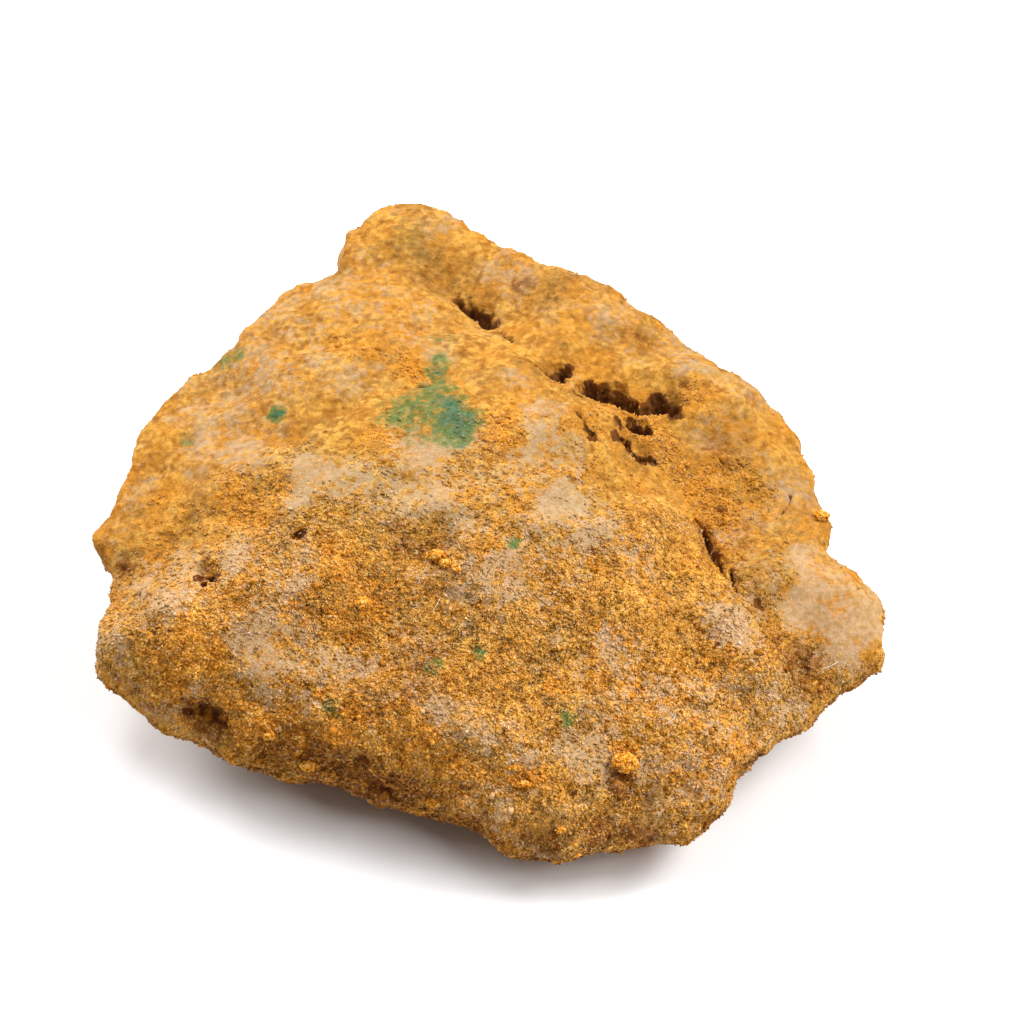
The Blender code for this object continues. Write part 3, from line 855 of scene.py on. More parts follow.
def roughen(mesh, strength):
    """Raises the skin's swells and clods, sinks its pits and stores its stains. The foot stays flat."""
    points = read_points(mesh)
    normals = read_normals(mesh)
    stains = stains_at(points, normals)
    film = smooth_step(*FILM_EDGE, stains["clay"])
    swell = sum(height * lumps(points, cell, 60 + number) for number, (cell, height) in enumerate(SWELLS))
    packed = np.zeros(len(points))
    for number, (cell, height) in enumerate(CLODS):
        packed += height * (clods(points, cell, 80 + 10 * number) - 0.5)
    earth = packed * (0.75 + 0.25 * stains["sandy"])
    # the clods' height, from which the crust paints shade into the crevices between them
    stains["crest"] = np.clip(0.5 + packed / sum(height for _, height in CLODS), 0.0, 1.0)
    grit = np.random.default_rng(JITTER_SEED).normal(0.0, JITTER, len(points))
    rise = swell + (1.0 - film) * (earth - CLOD_DROP) + grit * (1.0 - 0.7 * film)
    rise -= HOLLOW_SINK * stains.pop("deep")
    foot = smooth_step(0.05, FOOT_FADE, points[:, 2])
    points += normals * (rise * strength * foot)[:, None]
    depth, _ = pit_depths(points)
    points[:, 2] -= depth
    write_points(mesh, keep_in_box(points))
    write_values(mesh, stains)


# ---------------------------------------------------------------- node trees


def label(name):
    """A name as a socket shows it, such as Pale Ochre for pale_ochre."""
    return name.replace("_", " ").title()


class Board:
    """A node tree that is filled from left to right."""

    def __init__(self, tree):
        self.tree = tree
        self.column = 0

    def add(self, kind, **settings):
        """A new node with its settings."""
        node = self.tree.nodes.new(kind)
        for name, value in settings.items():
            setattr(node, name, value)
        node.location = (170 * self.column, -40 * (self.column % 5))
        self.column += 1
        return node

    def feed(self, socket, value):
        """Links a socket to another, or sets its value."""
        if isinstance(value, bpy.types.NodeSocket):
            self.tree.links.new(value, socket)
        else:
            socket.default_value = value

    def math(self, operation, first, second=0.0, clamp=False):
        """One sum on numbers."""
        node = self.add("ShaderNodeMath", operation=operation, use_clamp=clamp)
        self.feed(node.inputs[0], first)
        self.feed(node.inputs[1], second)
        return node.outputs[0]

    def mix(self, factor, first, second, blend="MIX"):
        """One colour laid over another."""
        node = self.add("ShaderNodeMix", data_type="RGBA", blend_type=blend)
        self.feed(node.inputs[0], factor)
        self.feed(node.inputs[6], first)
        self.feed(node.inputs[7], second)
        return node.outputs[2]

    def ramp(self, value, low, high):
        """A smooth rise from 0 at low to 1 at high."""
        node = self.add("ShaderNodeMapRange", interpolation_type="SMOOTHSTEP")
        self.feed(node.inputs["Value"], value)
        self.feed(node.inputs["From Min"], low)
        self.feed(node.inputs["From Max"], high)
        return node.outputs["Result"]

    def value(self, name):
        """A number stored on the mesh."""
        return self.add("ShaderNodeAttribute", attribute_name=name).outputs["Fac"]

    def place(self):
        """The point on the stone, in metres."""
        return self.add("ShaderNodeTexCoord").outputs["Object"]

    def noise(self, scale, detail=2.0, roughness=0.5):
        """Cloudy noise from 0 to 1; scale is in lumps per metre."""
        node = self.add("ShaderNodeTexNoise")
        self.feed(node.inputs["Vector"], self.place())
        self.feed(node.inputs["Scale"], scale)
        node.inputs["Detail"].default_value = detail
        node.inputs["Roughness"].default_value = roughness
        return node.outputs["Fac"]

    def noise_channels(self, scale, detail=2.0, roughness=0.5):
        """Three unlike noises from 0 to 1, from one texture."""
        node = self.noise(scale, detail, roughness).node
        parts = self.add("ShaderNodeSeparateColor")
        self.feed(parts.inputs[0], node.outputs["Color"])
        return parts.outputs[:3]

    def group(self, tree, **inputs):
        """A node group with its inputs, whose names have _ for each space."""
        node = self.add("ShaderNodeGroup", node_tree=tree)
        for name, value in inputs.items():
            self.feed(node.inputs[label(name)], value)
        return node


def start_group(name, inputs, outputs):
    """An empty shader node group with named sockets, and its inputs and its end node."""
    tree = bpy.data.node_groups.new(name, "ShaderNodeTree")
    for shown, kind, default in inputs:
        socket = tree.interface.new_socket(name=shown, in_out="INPUT", socket_type=kind)
        socket.default_value = default
    for shown, kind in outputs:
        tree.interface.new_socket(name=shown, in_out="OUTPUT", socket_type=kind)
    board = Board(tree)
    start = board.add("NodeGroupInput")
    end = tree.nodes.new("NodeGroupOutput")
    end.location = (3400, 0)
    return board, start.outputs, end.inputs


NUMBER = "NodeSocketFloat"
COLOUR = "NodeSocketColor"
PLAIN_GREY = (0.5, 0.5, 0.5, 1.0)
# The colours of StoneColours that the earth's own colour is mixed from.
EARTH_COLOURS = (
    "pale_ochre", "deep_ochre", "rust", "clay", "olive", "green", "teal", "emerald", "brown", "shade"
)
# Lumps per metre in the noises of the materials.
BROAD_NOISE = 560.0
CLOSE_NOISE = 2400.0
SPECK_NOISE = 3600.0
BLOTCH_NOISE = 1700.0
DARK_NOISE = 2100.0
SOFT_NOISE = 2900.0
FINE_NOISE = 11000.0
CRUST_GRAINS = 10500.0
LOOSE_GRAINS = 8200.0
CRUMB_NOISE = 2600.0
FIBRE_NOISE = 5000.0
BUMP_HEIGHT = 0.00005  # metres


def solid(colour):
    """A colour with full opacity, as sockets want it."""
    return (*colour, 1.0)


def ragged_mask_group():
    """Gives a soft mask crumbly edges, from a broad and a close noise. Where it is 0, it stays 0."""
    board, given, result = start_group(
        "Ragged Mask",
        [
            ("Amount", NUMBER, 0.0),
            ("Broad", NUMBER, 0.5),
            ("Close", NUMBER, 0.5),
            ("Softness", NUMBER, 0.2),
        ],
        [("Mask", NUMBER)],
    )
    broad = board.math("MULTIPLY", board.math("SUBTRACT", given["Broad"], 0.5), 1.5)
    close = board.math("MULTIPLY", board.math("SUBTRACT", given["Close"], 0.5), 2.1)
    swing = board.math("MULTIPLY", board.math("ADD", broad, close), board.ramp(given["Amount"], 0.0, 0.3))
    low = board.math("SUBTRACT", 0.5, given["Softness"])
    high = board.math("ADD", 0.5, given["Softness"])
    board.feed(result["Mask"], board.ramp(board.math("ADD", given["Amount"], swing), low, high))
    return board.tree


# The coats that lie over the ochre ground, in order: the number on the mesh, the colour, which broad and
# which close noise tear its edge, how soft the edge is and how much of the ground it covers. The hollow
# coat is brown earth with painted shade; the pits, cracks and deepest hollows take painted shade mixed with
# brown.
COATS = [
    ("olive", "Olive", 1, 2, 0.26, 0.60),
    ("rust", "Rust", 2, 0, 0.24, 0.65),
    ("clay", "Clay", 0, 1, 0.30, 0.84),
    ("green", "Green", 0, 2, 0.38, 0.95),
    ("teal", "Teal", 2, 1, 0.40, 0.80),
    ("emerald", "Emerald", 1, 0, 0.30, 0.80),
    ("hollow", "Brown", 0, 0, 0.30, 0.80),
    ("pit", "Shade", 1, 2, 0.14, 1.0),
]
GREY_TAKES = (0.25, 0.18, 0.13)  # shares of red, green and blue that the grey places lose


def ochre_ground(board, given, broad, close, sandy, plain):
    """Ochre in two mottled tones, brown blotches where plain and painted shade in the sand's crevices."""
    mottle = board.math("ADD", board.math("MULTIPLY", broad[0], 0.5), board.math("MULTIPLY", close[0], 0.5))
    wash = board.math("SUBTRACT", board.ramp(mottle, 0.40, 0.60), 0.5)
    wash = board.math("ADD", board.math("MULTIPLY", wash, board.math("ADD", 0.65, plain)), 0.5, clamp=True)
    colour = board.mix(wash, given["Deep Ochre"], given["Pale Ochre"])
    blotch = board.ramp(board.noise(BLOTCH_NOISE, detail=1.0), 0.50, 0.70)
    blotch = board.math("MULTIPLY", blotch, plain)
    colour = board.mix(board.math("MULTIPLY", blotch, 0.5), colour, given["Brown"])
    crevice_shade = board.math("MULTIPLY", board.ramp(board.value("crest"), 0.62, 0.12), sandy)
    bare = board.math("SUBTRACT", 1.0, board.value("clay"))
    crevice_shade = board.math("MULTIPLY", crevice_shade, bare)
    return board.mix(board.math("MULTIPLY", crevice_shade, 0.38), colour, given["Brown"])


def coat_mask(board, ragged, coat, broad, close, plain):
    """Where one coat lies. It is softer and thinner where the skin is plain."""
    stored, _, broad_channel, close_channel, softness, cover = coat
    node = board.group(
        ragged,
        amount=board.value(stored),
        broad=broad[broad_channel],
        close=close[close_channel],
        softness=board.math("ADD", board.math("MULTIPLY", plain, 0.22), softness),
    )
    whole = board.math("SUBTRACT", cover, board.math("MULTIPLY", plain, 0.12 * cover))
    return board.math("MULTIPLY", node.outputs["Mask"], whole)


def pinhole_shade(board, clay, broad, sandy):
    """Painted shade of small pinholes in sandy earth that no clay covers."""
    specks = board.noise(SPECK_NOISE, detail=1.0)
    holes = board.math("MULTIPLY", board.ramp(specks, 0.58, 0.68), board.ramp(broad[1], 0.42, 0.60))
    holes = board.math("MULTIPLY", holes, board.ramp(clay, 0.5, 0.1))
    return board.math("MULTIPLY", holes, sandy)


def low_shades(board, colour, given, close, painted_depth_shade, low):
    """Dark flecks of painted shade and rust flecks painted as lit crumbs, in the low and hollow places."""
    dark = board.ramp(board.noise(DARK_NOISE, detail=2.0), 0.48, 0.60)
    dark = board.math("MULTIPLY", dark, low)
    colour = board.mix(board.math("MULTIPLY", dark, 0.95), colour, painted_depth_shade)
    lit = board.math("MULTIPLY", board.ramp(close[1], 0.52, 0.62), low)
    return board.mix(board.math("MULTIPLY", lit, 0.7), colour, given["Rust"])


def light_left(board):
    """What is left of each colour in the far part of the stone and in the grey places."""
    dull = board.math("MULTIPLY", board.ramp(board.value("far"), 0.05, 1.0), 0.22)
    dull = board.math("SUBTRACT", 1.0, dull)
    left = board.add("ShaderNodeCombineColor")
    for socket, part in zip(left.inputs, GREY_TAKES):
        taken = board.math("MULTIPLY", board.value("grey"), part)
        board.feed(socket, board.math("MULTIPLY", dull, board.math("SUBTRACT", 1.0, taken)))
    return left.outputs[0]


def earth_colour_group(ragged):
    """The earth's colours: rust, clay, olive, green, brown and painted shade, from the numbers on the mesh.
    """
    board, given, result = start_group(
        "Earth Colour",
        [(label(name), COLOUR, PLAIN_GREY) for name in EARTH_COLOURS],
        [("Colour", COLOUR), ("Clay Mask", NUMBER), ("Sandy", NUMBER), ("Low", NUMBER)],
    )
    broad = board.noise_channels(BROAD_NOISE, detail=3.0, roughness=0.55)
    close = board.noise_channels(CLOSE_NOISE, detail=2.0, roughness=0.5)
    sandy = board.value("sandy")
    plain = board.math("SUBTRACT", 1.0, sandy)
    colour = ochre_ground(board, given, broad, close, sandy, plain)
    # painted shade for pits, cracks, pinholes and dark flecks: the pit shade mixed with brown
    painted_depth_shade = board.mix(board.ramp(close[0], 0.45, 0.62), given["Shade"], given["Brown"])
    clay = None
    for coat in COATS:
        stored, name = coat[:2]
        mask = coat_mask(board, ragged, coat, broad, close, plain)
        colour = board.mix(mask, colour, painted_depth_shade if stored == "pit" else given[name])
        if stored == "clay":
            clay = mask
            colour = board.mix(pinhole_shade(board, clay, broad, sandy), colour, painted_depth_shade)
    low = board.math("MAXIMUM", board.value("low"), board.math("MULTIPLY", board.value("hollow"), 0.7))
    colour = low_shades(board, colour, given, close, painted_depth_shade, low)
    board.feed(result["Colour"], board.mix(1.0, colour, light_left(board), blend="MULTIPLY"))
    board.feed(result["Clay Mask"], clay)
    board.feed(result["Sandy"], sandy)
    board.feed(result["Low"], board.math("MAXIMUM", low, board.math("MULTIPLY", board.value("near"), 0.45)))
    return board.tree


def tone_group():
    """Makes a grain lighter or darker. Light grains come out greyer and dark ones deeper in colour."""
    board, given, result = start_group(
        "Grain Tone", [("Tone", NUMBER, 0.5), ("Contrast", NUMBER, 0.5)], [("Colour", COLOUR)]
    )
    swing = board.math("MULTIPLY", board.math("SUBTRACT", given["Tone"], 0.5), given["Contrast"])
    made = board.add("ShaderNodeCombineColor")
    for socket, gain in zip(made.inputs, (1.0, 1.33, 2.5)):
        level = board.math("ADD", board.math("MULTIPLY", swing, gain), 1.0)
        board.feed(socket, board.math("MAXIMUM", level, 0.05))
    board.feed(result["Colour"], made.outputs[0])
    return board.tree


def grain_group(grain_tone):
    """Small packed grains: a tone each, painted shade in gaps, rare golden grains as painted glints, and
    height.
    """
    board, given, result = start_group(
        "Packed Grains",
        [
            ("Colour", COLOUR, PLAIN_GREY),
            ("Light", COLOUR, (0.9, 0.7, 0.3, 1.0)),
            ("Grains", NUMBER, 7000.0),
            ("Contrast", NUMBER, 0.5),
        ],
        [("Colour", COLOUR), ("Height", NUMBER)],
    )
    cells = board.add("ShaderNodeTexVoronoi")
    board.feed(cells.inputs["Vector"], board.place())
    board.feed(cells.inputs["Scale"], given["Grains"])
    parts = board.add("ShaderNodeSeparateColor")
    board.feed(parts.inputs[0], cells.outputs["Color"])
    gap_shade = board.ramp(cells.outputs["Distance"], 0.40, 0.95)
    tone = board.math("ADD", parts.outputs[0], 0.15)
    tone = board.math("SUBTRACT", tone, board.math("MULTIPLY", gap_shade, 0.5))
    shade = board.group(grain_tone, tone=tone, contrast=given["Contrast"])
    colour = board.mix(1.0, given["Colour"], shade.outputs["Colour"], blend="MULTIPLY")
    # rare golden grains, painted bright to stand in for glints too
    light = board.math("MULTIPLY", board.ramp(parts.outputs[2], 0.93, 0.97), given["Contrast"])
    light = board.math("MULTIPLY", light, given["Contrast"], clamp=True)
    board.feed(result["Colour"], board.mix(light, colour, given["Light"]))
    board.feed(result["Height"], board.math("SUBTRACT", 1.0, cells.outputs["Distance"]))
    return board.tree


def shared_group(name, make):
    """The shared group of this name, made the first time that it is asked for."""
    return bpy.data.node_groups.get(name) or make()


def earth_node(board, colours):
    """The earth's colour, placed in a material with the user's colours."""
    ragged = shared_group("Ragged Mask", ragged_mask_group)
    earth = shared_group("Earth Colour", lambda: earth_colour_group(ragged))
    return board.group(earth, **{name: solid(getattr(colours, name)) for name in EARTH_COLOURS})


def packed_grains(board, colour, colours, grains, contrast):
    """Packed grains over a colour, with the user's gold as the light ones."""
    tone = shared_group("Grain Tone", tone_group)
    return board.group(
        shared_group("Packed Grains", lambda: grain_group(tone)),
        colour=colour,
        light=solid(colours.gold),
        grains=grains,
        contrast=contrast,
    )


def add_bump(board, shader, height, strength):
    """Bumps the shader's surface by a height."""
    bump = board.add("ShaderNodeBump")
    bump.inputs["Distance"].default_value = BUMP_HEIGHT
    bump.inputs["Strength"].default_value = strength
    board.feed(bump.inputs["Height"], height)
    board.feed(shader.inputs["Normal"], bump.outputs["Normal"])


def start_material(name, roughness, specular):
    """An empty matt material, its board and its shader."""
    material = bpy.data.materials.new(name)
    material.use_nodes = True
    board = Board(material.node_tree)
    shader = material.node_tree.nodes["Principled BSDF"]
    shader.inputs["Roughness"].default_value = roughness
    shader.inputs["Specular IOR Level"].default_value = specular
    return material, board, shader


def crust_material(colours):
    """Crumbly earth: stained ochre, packed grains and fine bumps, smoother on the clay."""
    material, board, shader = start_material("crumbly_earth", 0.9, 0.10)
    earth = earth_node(board, colours)
    clay = earth.outputs["Clay Mask"]
    rough = board.math("SUBTRACT", 1.0, board.math("MULTIPLY", clay, 0.75))
    rough = board.math("MULTIPLY", rough, earth.outputs["Sandy"])
    contrast = board.math("MULTIPLY", rough, 0.85)
    contrast = board.math("MAXIMUM", contrast, board.math("MULTIPLY", earth.outputs["Low"], 0.9))
    outside = board.math("MAXIMUM", board.ramp(board.value("pit"), 0.6, 0.2), 0.3)
    contrast = board.math("MULTIPLY", contrast, outside)
    tone = shared_group("Grain Tone", tone_group)
    grains = packed_grains(board, earth.outputs["Colour"], colours, CRUST_GRAINS, contrast)
    plain = board.math("SUBTRACT", 1.0, earth.outputs["Sandy"])
    soft = board.noise(SOFT_NOISE, detail=1.0)
    shade = board.group(tone, tone=board.ramp(soft, 0.3, 0.7), contrast=board.math("MULTIPLY", plain, 0.28))
    colour = board.mix(1.0, grains.outputs["Colour"], shade.outputs["Colour"], blend="MULTIPLY")
    board.feed(shader.inputs["Base Color"], colour)
    board.feed(shader.inputs["Roughness"], board.math("SUBTRACT", 0.95, board.math("MULTIPLY", clay, 0.15)))
    fine = board.math("ADD", grains.outputs["Height"], board.noise(FINE_NOISE, detail=2.0))
    fine = board.math("MULTIPLY", fine, board.math("ADD", rough, 0.12))
    clumps = board.math("MULTIPLY", soft, board.math("MULTIPLY", plain, 2.8))
    add_bump(board, shader, board.math("ADD", fine, clumps), 0.85)
    return material


def sand_material(name, colours, tint, share, roughness, specular):
    """Sand of one kind: the earth's own colour with part of the kind's tint, and a tone for each grain."""
    material, board, shader = start_material(name, roughness, specular)
    earth = earth_node(board, colours)
    stray = board.math("MULTIPLY", board.ramp(board.value("tone"), 0.60, 0.75), board.value("hollow"))
    share = board.math("MAXIMUM", board.math("MULTIPLY", stray, 0.4), share)
    colour = board.mix(share, earth.outputs["Colour"], solid(tint))
    contrast = board.math("MULTIPLY", board.math("ADD", earth.outputs["Sandy"], earth.outputs["Low"]), 0.75)
    shade = board.group(shared_group("Grain Tone", tone_group), tone=board.value("tone"), contrast=contrast)
    colour = board.mix(1.0, colour, shade.outputs["Colour"], blend="MULTIPLY")
    board.feed(shader.inputs["Base Color"], colour)
    return material


def crumb_material(colours):
    """Loose crumbs: rusty earth with packed grains."""
    material, board, shader = start_material("rusty_crumb", 0.9, 0.10)
    patches = board.ramp(board.noise(CRUMB_NOISE, detail=2.0), 0.40, 0.70)
    colour = board.mix(patches, solid(colours.rust), solid(colours.pale_ochre))
    grains = packed_grains(board, colour, colours, LOOSE_GRAINS, 0.9)
    board.feed(shader.inputs["Base Color"], grains.outputs["Colour"])
    add_bump(board, shader, grains.outputs["Height"], 0.8)
    return material


def fibre_material(colours):
    """Pale stray fibres, a little darker in places."""
    material, board, shader = start_material("pale_fibre", 0.6, 0.4)
    patches = board.noise(FIBRE_NOISE, detail=1.0)
    dull = tuple(0.7 * part for part in colours.fibre)
    board.feed(shader.inputs["Base Color"], board.mix(patches, solid(colours.fibre), solid(dull)))
    return material


# ---------------------------------------------------------------- sand

# Kinds of sand: name, count, radius against the middle one, colour property, its share, density on clay,
# roughness, specular, seed.
SAND_KINDS = [
    ("sand_ochre", 42000, 1.0, "pale_ochre", 0.12, 0.40, 0.9, 0.12, 101),
    ("sand_rust", 30000, 1.05, "rust", 0.24, 0.30, 0.9, 0.12, 103),
    ("sand_grey", 28000, 0.95, "clay", 0.42, 0.75, 0.9, 0.12, 105),
    ("sand_gold", 12000, 0.75, "gold", 0.40, 0.40, 0.50, 0.5, 102),
    ("sand_brown", 18000, 0.85, "brown", 0.55, 0.15, 0.9, 0.1, 104),
    ("sand_coarse", 5000, 1.5, "rust", 0.25, 0.12, 0.9, 0.12, 106),
]
COARSE = 1.4  # a kind larger than this lies in clusters, and on the low walls
SHARP_TINTS = ("gold", "brown")  # these stand out, and so are kept to the sandiest places
# Corners and faces of a plain grain, and of the chunkier one that coarse sand and crumbs are made of.
GRAIN = np.array([(1, 1, 1), (1, -1, -1), (-1, 1, -1), (-1, -1, 1)]) / math.sqrt(3.0)
GRAIN_FACES = np.array([(0, 1, 2), (0, 3, 1), (0, 2, 3), (1, 3, 2)])
CHUNK = np.array([(1.0, 0, 0), (-1, 0, 0), (0, 1, 0), (0, -1, 0), (0, 0, 1), (0, 0, -1)])
CHUNK_FACES = np.array(
    [(0, 2, 4), (2, 1, 4), (1, 3, 4), (3, 0, 4), (2, 0, 5), (1, 2, 5), (3, 1, 5), (0, 3, 5)]
)
LARGEST = 2.0  # no grain is larger than this many times its kind's middle radius
SPOTS_TRIED = 3.5  # for each grain of the full count
LOWEST_GRAIN = 0.35  # no grain lies lower than this
GRAIN_SPREAD = 0.32  # how much the radii of one kind differ
GRAIN_SINK = (-0.45, 0.25)  # how far grains lie in the skin or out of it, as a share of their radius
TONE_SEED = 97
FACE_MAP = "OFBake"  # the name that a map of the faces needs so that colours can be baked through it


def spots_on(mesh, count, rng):
    """Random spots spread evenly over the skin: their places, ways out and the skin's values there."""
    mesh.calc_loop_triangles()
    corners = np.empty(len(mesh.loop_triangles) * 3, np.int32)
    mesh.loop_triangles.foreach_get("vertices", corners)
    corners = corners.reshape(-1, 3)
    points = read_points(mesh)
    first, second, third = (points[corners[:, side]] for side in range(3))
    across = np.cross(second - first, third - first)
    area = np.linalg.norm(across, axis=1)
    chosen = rng.choice(len(area), count, p=area / area.sum())
    u, v = rng.random(count), rng.random(count)
    over = u + v > 1.0
    u, v = np.where(over, 1.0 - u, u), np.where(over, 1.0 - v, v)
    shares = np.stack([1.0 - u - v, u, v], axis=1)
    spots = np.einsum("ns,nsk->nk", shares, points[corners[chosen]])
    facing = across[chosen] / np.maximum(area[chosen], 1e-12)[:, None]
    values = {}
    for layer in mesh.attributes:
        if layer.data_type == "FLOAT" and layer.domain == "POINT":
            numbers = np.empty(len(points), np.float32)
            layer.data.foreach_get("value", numbers)
            values[layer.name] = np.einsum("ns,ns->n", shares, numbers[corners[chosen]])
    return spots, facing, values


def random_turns(count, rng):
    """Random rotation matrices."""
    turn = rng.normal(size=(count, 4))
    w, x, y, z = (turn / np.linalg.norm(turn, axis=1)[:, None]).T
    rows = [
        (1 - 2 * (y * y + z * z), 2 * (x * y - z * w), 2 * (x * z + y * w)),
        (2 * (x * y + z * w), 1 - 2 * (x * x + z * z), 2 * (y * z - x * w)),
        (2 * (x * z - y * w), 2 * (y * z + x * w), 1 - 2 * (x * x + y * y)),
    ]
    return np.array(rows).transpose(2, 0, 1)


def lay_out_faces(mesh):
    """Gives every two triangles a square of their own in the mesh's map of faces."""
    count = len(mesh.polygons)
    side = math.ceil(math.sqrt(math.ceil(count / 2)))
    square, upper = np.arange(count) // 2, np.arange(count) % 2
    place = np.stack([square % side, square // side], axis=1)
    lower = [(0.08, 0.08), (0.78, 0.08), (0.08, 0.78)]
    halves = np.array([lower, [(0.92, 0.92), (0.22, 0.92), (0.92, 0.22)]])
    corners = (place[:, None, :] + halves[upper]) / side
    layer = mesh.uv_layers.new(name=FACE_MAP, do_init=False)
    layer.uv.foreach_set("vector", corners.ravel())


def grain_mesh(name, centres, radii, rng, corners=GRAIN, sides=GRAIN_FACES):
    """One joined mesh of angular grains, each with its own proportions and turn."""
    count = len(centres)
    shape = corners * rng.uniform(0.75, 1.3, (count, 1, 3))
    shape = shape + rng.normal(0.0, 0.14, (count, len(corners), 3))
    shape = np.einsum("nij,nkj->nki", random_turns(count, rng), shape)
    points = centres[:, None, :] + shape * radii[:, None, None]
    faces = sides[None, :, :] + len(corners) * np.arange(count)[:, None, None]
    mesh = mesh_from_parts(name, keep_in_box(points.reshape(-1, 3)), faces.reshape(-1, 3))
    lay_out_faces(mesh)
    return mesh


def sand_density(kind, spots, facing, stains):
    """How much of one kind of sand lies at each spot: less on clay, in pits and hollows and on green."""
    _, _, size, tint, _, on_clay, _, _, seed = kind
    clay = smooth_step(*FILM_EDGE, stains["clay"])
    plain = 1.0 - stains["sandy"]
    wanted = 1.0 - (1.0 - on_clay) * clay * (1.0 if tint in SHARP_TINTS else 0.5 + 0.5 * plain)
    wanted *= 1.0 - clay * smooth_step(0.15, 0.5, plain)
    wanted *= 1.0 - 0.4 * smooth_step(0.3, 0.7, stains["hollow"])
    wanted *= 1.0 - 0.75 * smooth_step(0.1, 0.4, stains["pit"])
    if tint == "brown":
        wanted *= smooth_step(0.2, 0.6, stains["sandy"]) * (1.0 - 0.6 * stains["rust"])
    wanted *= stains["sandy"] ** (2.0 if tint in SHARP_TINTS else 1.3)
    wanted *= smooth_step(0.2, 0.5, stains["sandy"])
    wanted *= 1.0 - 0.8 * stains["green"]
    if tint == "rust":
        wanted *= 0.35 + 0.65 * smooth_step(0.2, 0.7, stains["rust"])
    if size > COARSE:
        wanted *= 0.15 + 0.85 * np.maximum(stains["low"], smooth_step(0.2, 0.6, lumps(spots, 1.9, seed)))
    wanted *= 0.7 + 0.3 * lumps(spots, 1.1, seed)
    return wanted * np.where(facing[:, 2] < -0.4, 0.35, 1.0)


def scatter_kind(skin, kind, sizes, colours):
    """One kind of sand over the whole skin, each grain with a tone and the stains of the skin under it."""
    name, full_count, size, tint, share, _, roughness, specular, seed = kind
    rng = np.random.default_rng(seed)
    count = int(full_count * sizes.grain_cover)
    spots, facing, stains = spots_on(skin.data, int(count * SPOTS_TRIED), rng)
    wanted = sand_density(kind, spots, facing, stains)
    kept = np.flatnonzero((rng.random(len(spots)) < wanted) & (spots[:, 2] > LOWEST_GRAIN))[:count]
    spread = np.minimum(rng.lognormal(0.0, GRAIN_SPREAD, len(kept)), LARGEST)
    radii = sizes.grain_radius / MM * size * spread
    sink = rng.uniform(*GRAIN_SINK, len(kept)) * radii
    centres = spots[kept] + facing[kept] * sink[:, None]
    corners, sides = (CHUNK, CHUNK_FACES) if size > COARSE else (GRAIN, GRAIN_FACES)
    mesh = grain_mesh(name, centres, radii, rng, corners, sides)
    values = {stain: np.repeat(numbers[kept], len(corners)) for stain, numbers in stains.items()}
    tone = 0.75 * rng.random(len(kept)) + 0.125 + 0.30 * lumps(spots[kept], 0.5, TONE_SEED)
    values["tone"] = np.repeat(np.clip(tone, 0.0, 1.0), len(corners))
    write_values(mesh, values)
    piece = new_piece(name, mesh)
    material = sand_material(name + "_grains", colours, getattr(colours, tint), share, roughness, specular)
    finish_piece(piece, material)


# ---------------------------------------------------------------- operators


class STONE_OT_surface(Operator):
    """Rebuild the plain solid as a fine crumbly skin with pits, cracks and clay films"""

    bl_idname = "stone.build_surface"
    bl_label = "Build Surface"

    def execute(self, context):
        sizes = context.scene.stone_sizes
        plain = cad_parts.get(NODE)
        if plain is None:
            raise RuntimeError("the frame has no stone")
        mesh = plain.data.copy()
        made = bmesh.new()
        made.from_mesh(mesh)
        bmesh.ops.remove_doubles(made, verts=made.verts[:], dist=1e-6)
        made.to_mesh(mesh)
        made.free()
        skin = new_piece(SURFACE_NAME, mesh)
        modified(skin, "REMESH", mode="VOXEL", voxel_size=sizes.surface_cell)
        modified(skin, "SMOOTH", factor=0.5, iterations=10)
        refine_near_pits(skin.data)
        weights = 1.0 - 0.9 * smooth_step(-0.25, 0.15, read_normals(skin.data)[:, 2])
        group = skin.vertex_groups.new(name="thin_here")
        for index, weight in enumerate(weights):
            group.add([index], float(weight), "REPLACE")
        share = min(1.0, sizes.surface_faces / len(skin.data.polygons))
        modified(skin, "DECIMATE", ratio=share, vertex_group=group.name, vertex_group_factor=1.0)
        skin.vertex_groups.clear()
        roughen(skin.data, sizes.relief)
        skin.data.shade_smooth()
        finish_piece(skin, crust_material(context.scene.stone_colours))
        return {"FINISHED"}


class STONE_OT_sand(Operator):
    """Scatter every kind of sand grain over the skin"""

    bl_idname = "stone.scatter_sand"
    bl_label = "Scatter Sand"

    def execute(self, context):
        skin = surface_piece()
        for kind in SAND_KINDS:
            scatter_kind(skin, kind, context.scene.stone_sizes, context.scene.stone_colours)
        return {"FINISHED"}


class STONE_OT_crumbs(Operator):
    """Set loose rusty crumbs on the skin"""

    bl_idname = "stone.build_crumbs"
    bl_label = "Build Crumbs"

    def execute(self, context):
        rng = np.random.default_rng(CRUMB_SEED)
        skin = surface_piece()
        centres, radii = [], []
        for x, y, z, radius, stretch in CRUMBS:
            middle = on_skin(skin, (x, y, z), CRUMB_RAISE * radius)
            count = int(CRUMB_GRAINS * (radius / CRUMB_MIDDLE) ** 2 * stretch)
            ways = rng.normal(size=(count, 3))
            ways /= np.linalg.norm(ways, axis=1)[:, None]
            reach = radius * rng.uniform(0.55, 1.0, (count, 1)) * (1.0 + 0.3 * lumps(ways, 0.8, 5)[:, None])
            centres.append(np.array(middle) + ways * reach * (stretch, 0.9, 0.8))
            radii.append(rng.uniform(0.25, 0.5, count) * min(radius, 0.34))
        mesh = grain_mesh("crumbs", np.concatenate(centres), np.concatenate(radii), rng, CHUNK, CHUNK_FACES)
        finish_piece(new_piece("crumbs", mesh), crumb_material(context.scene.stone_colours))
        return {"FINISHED"}


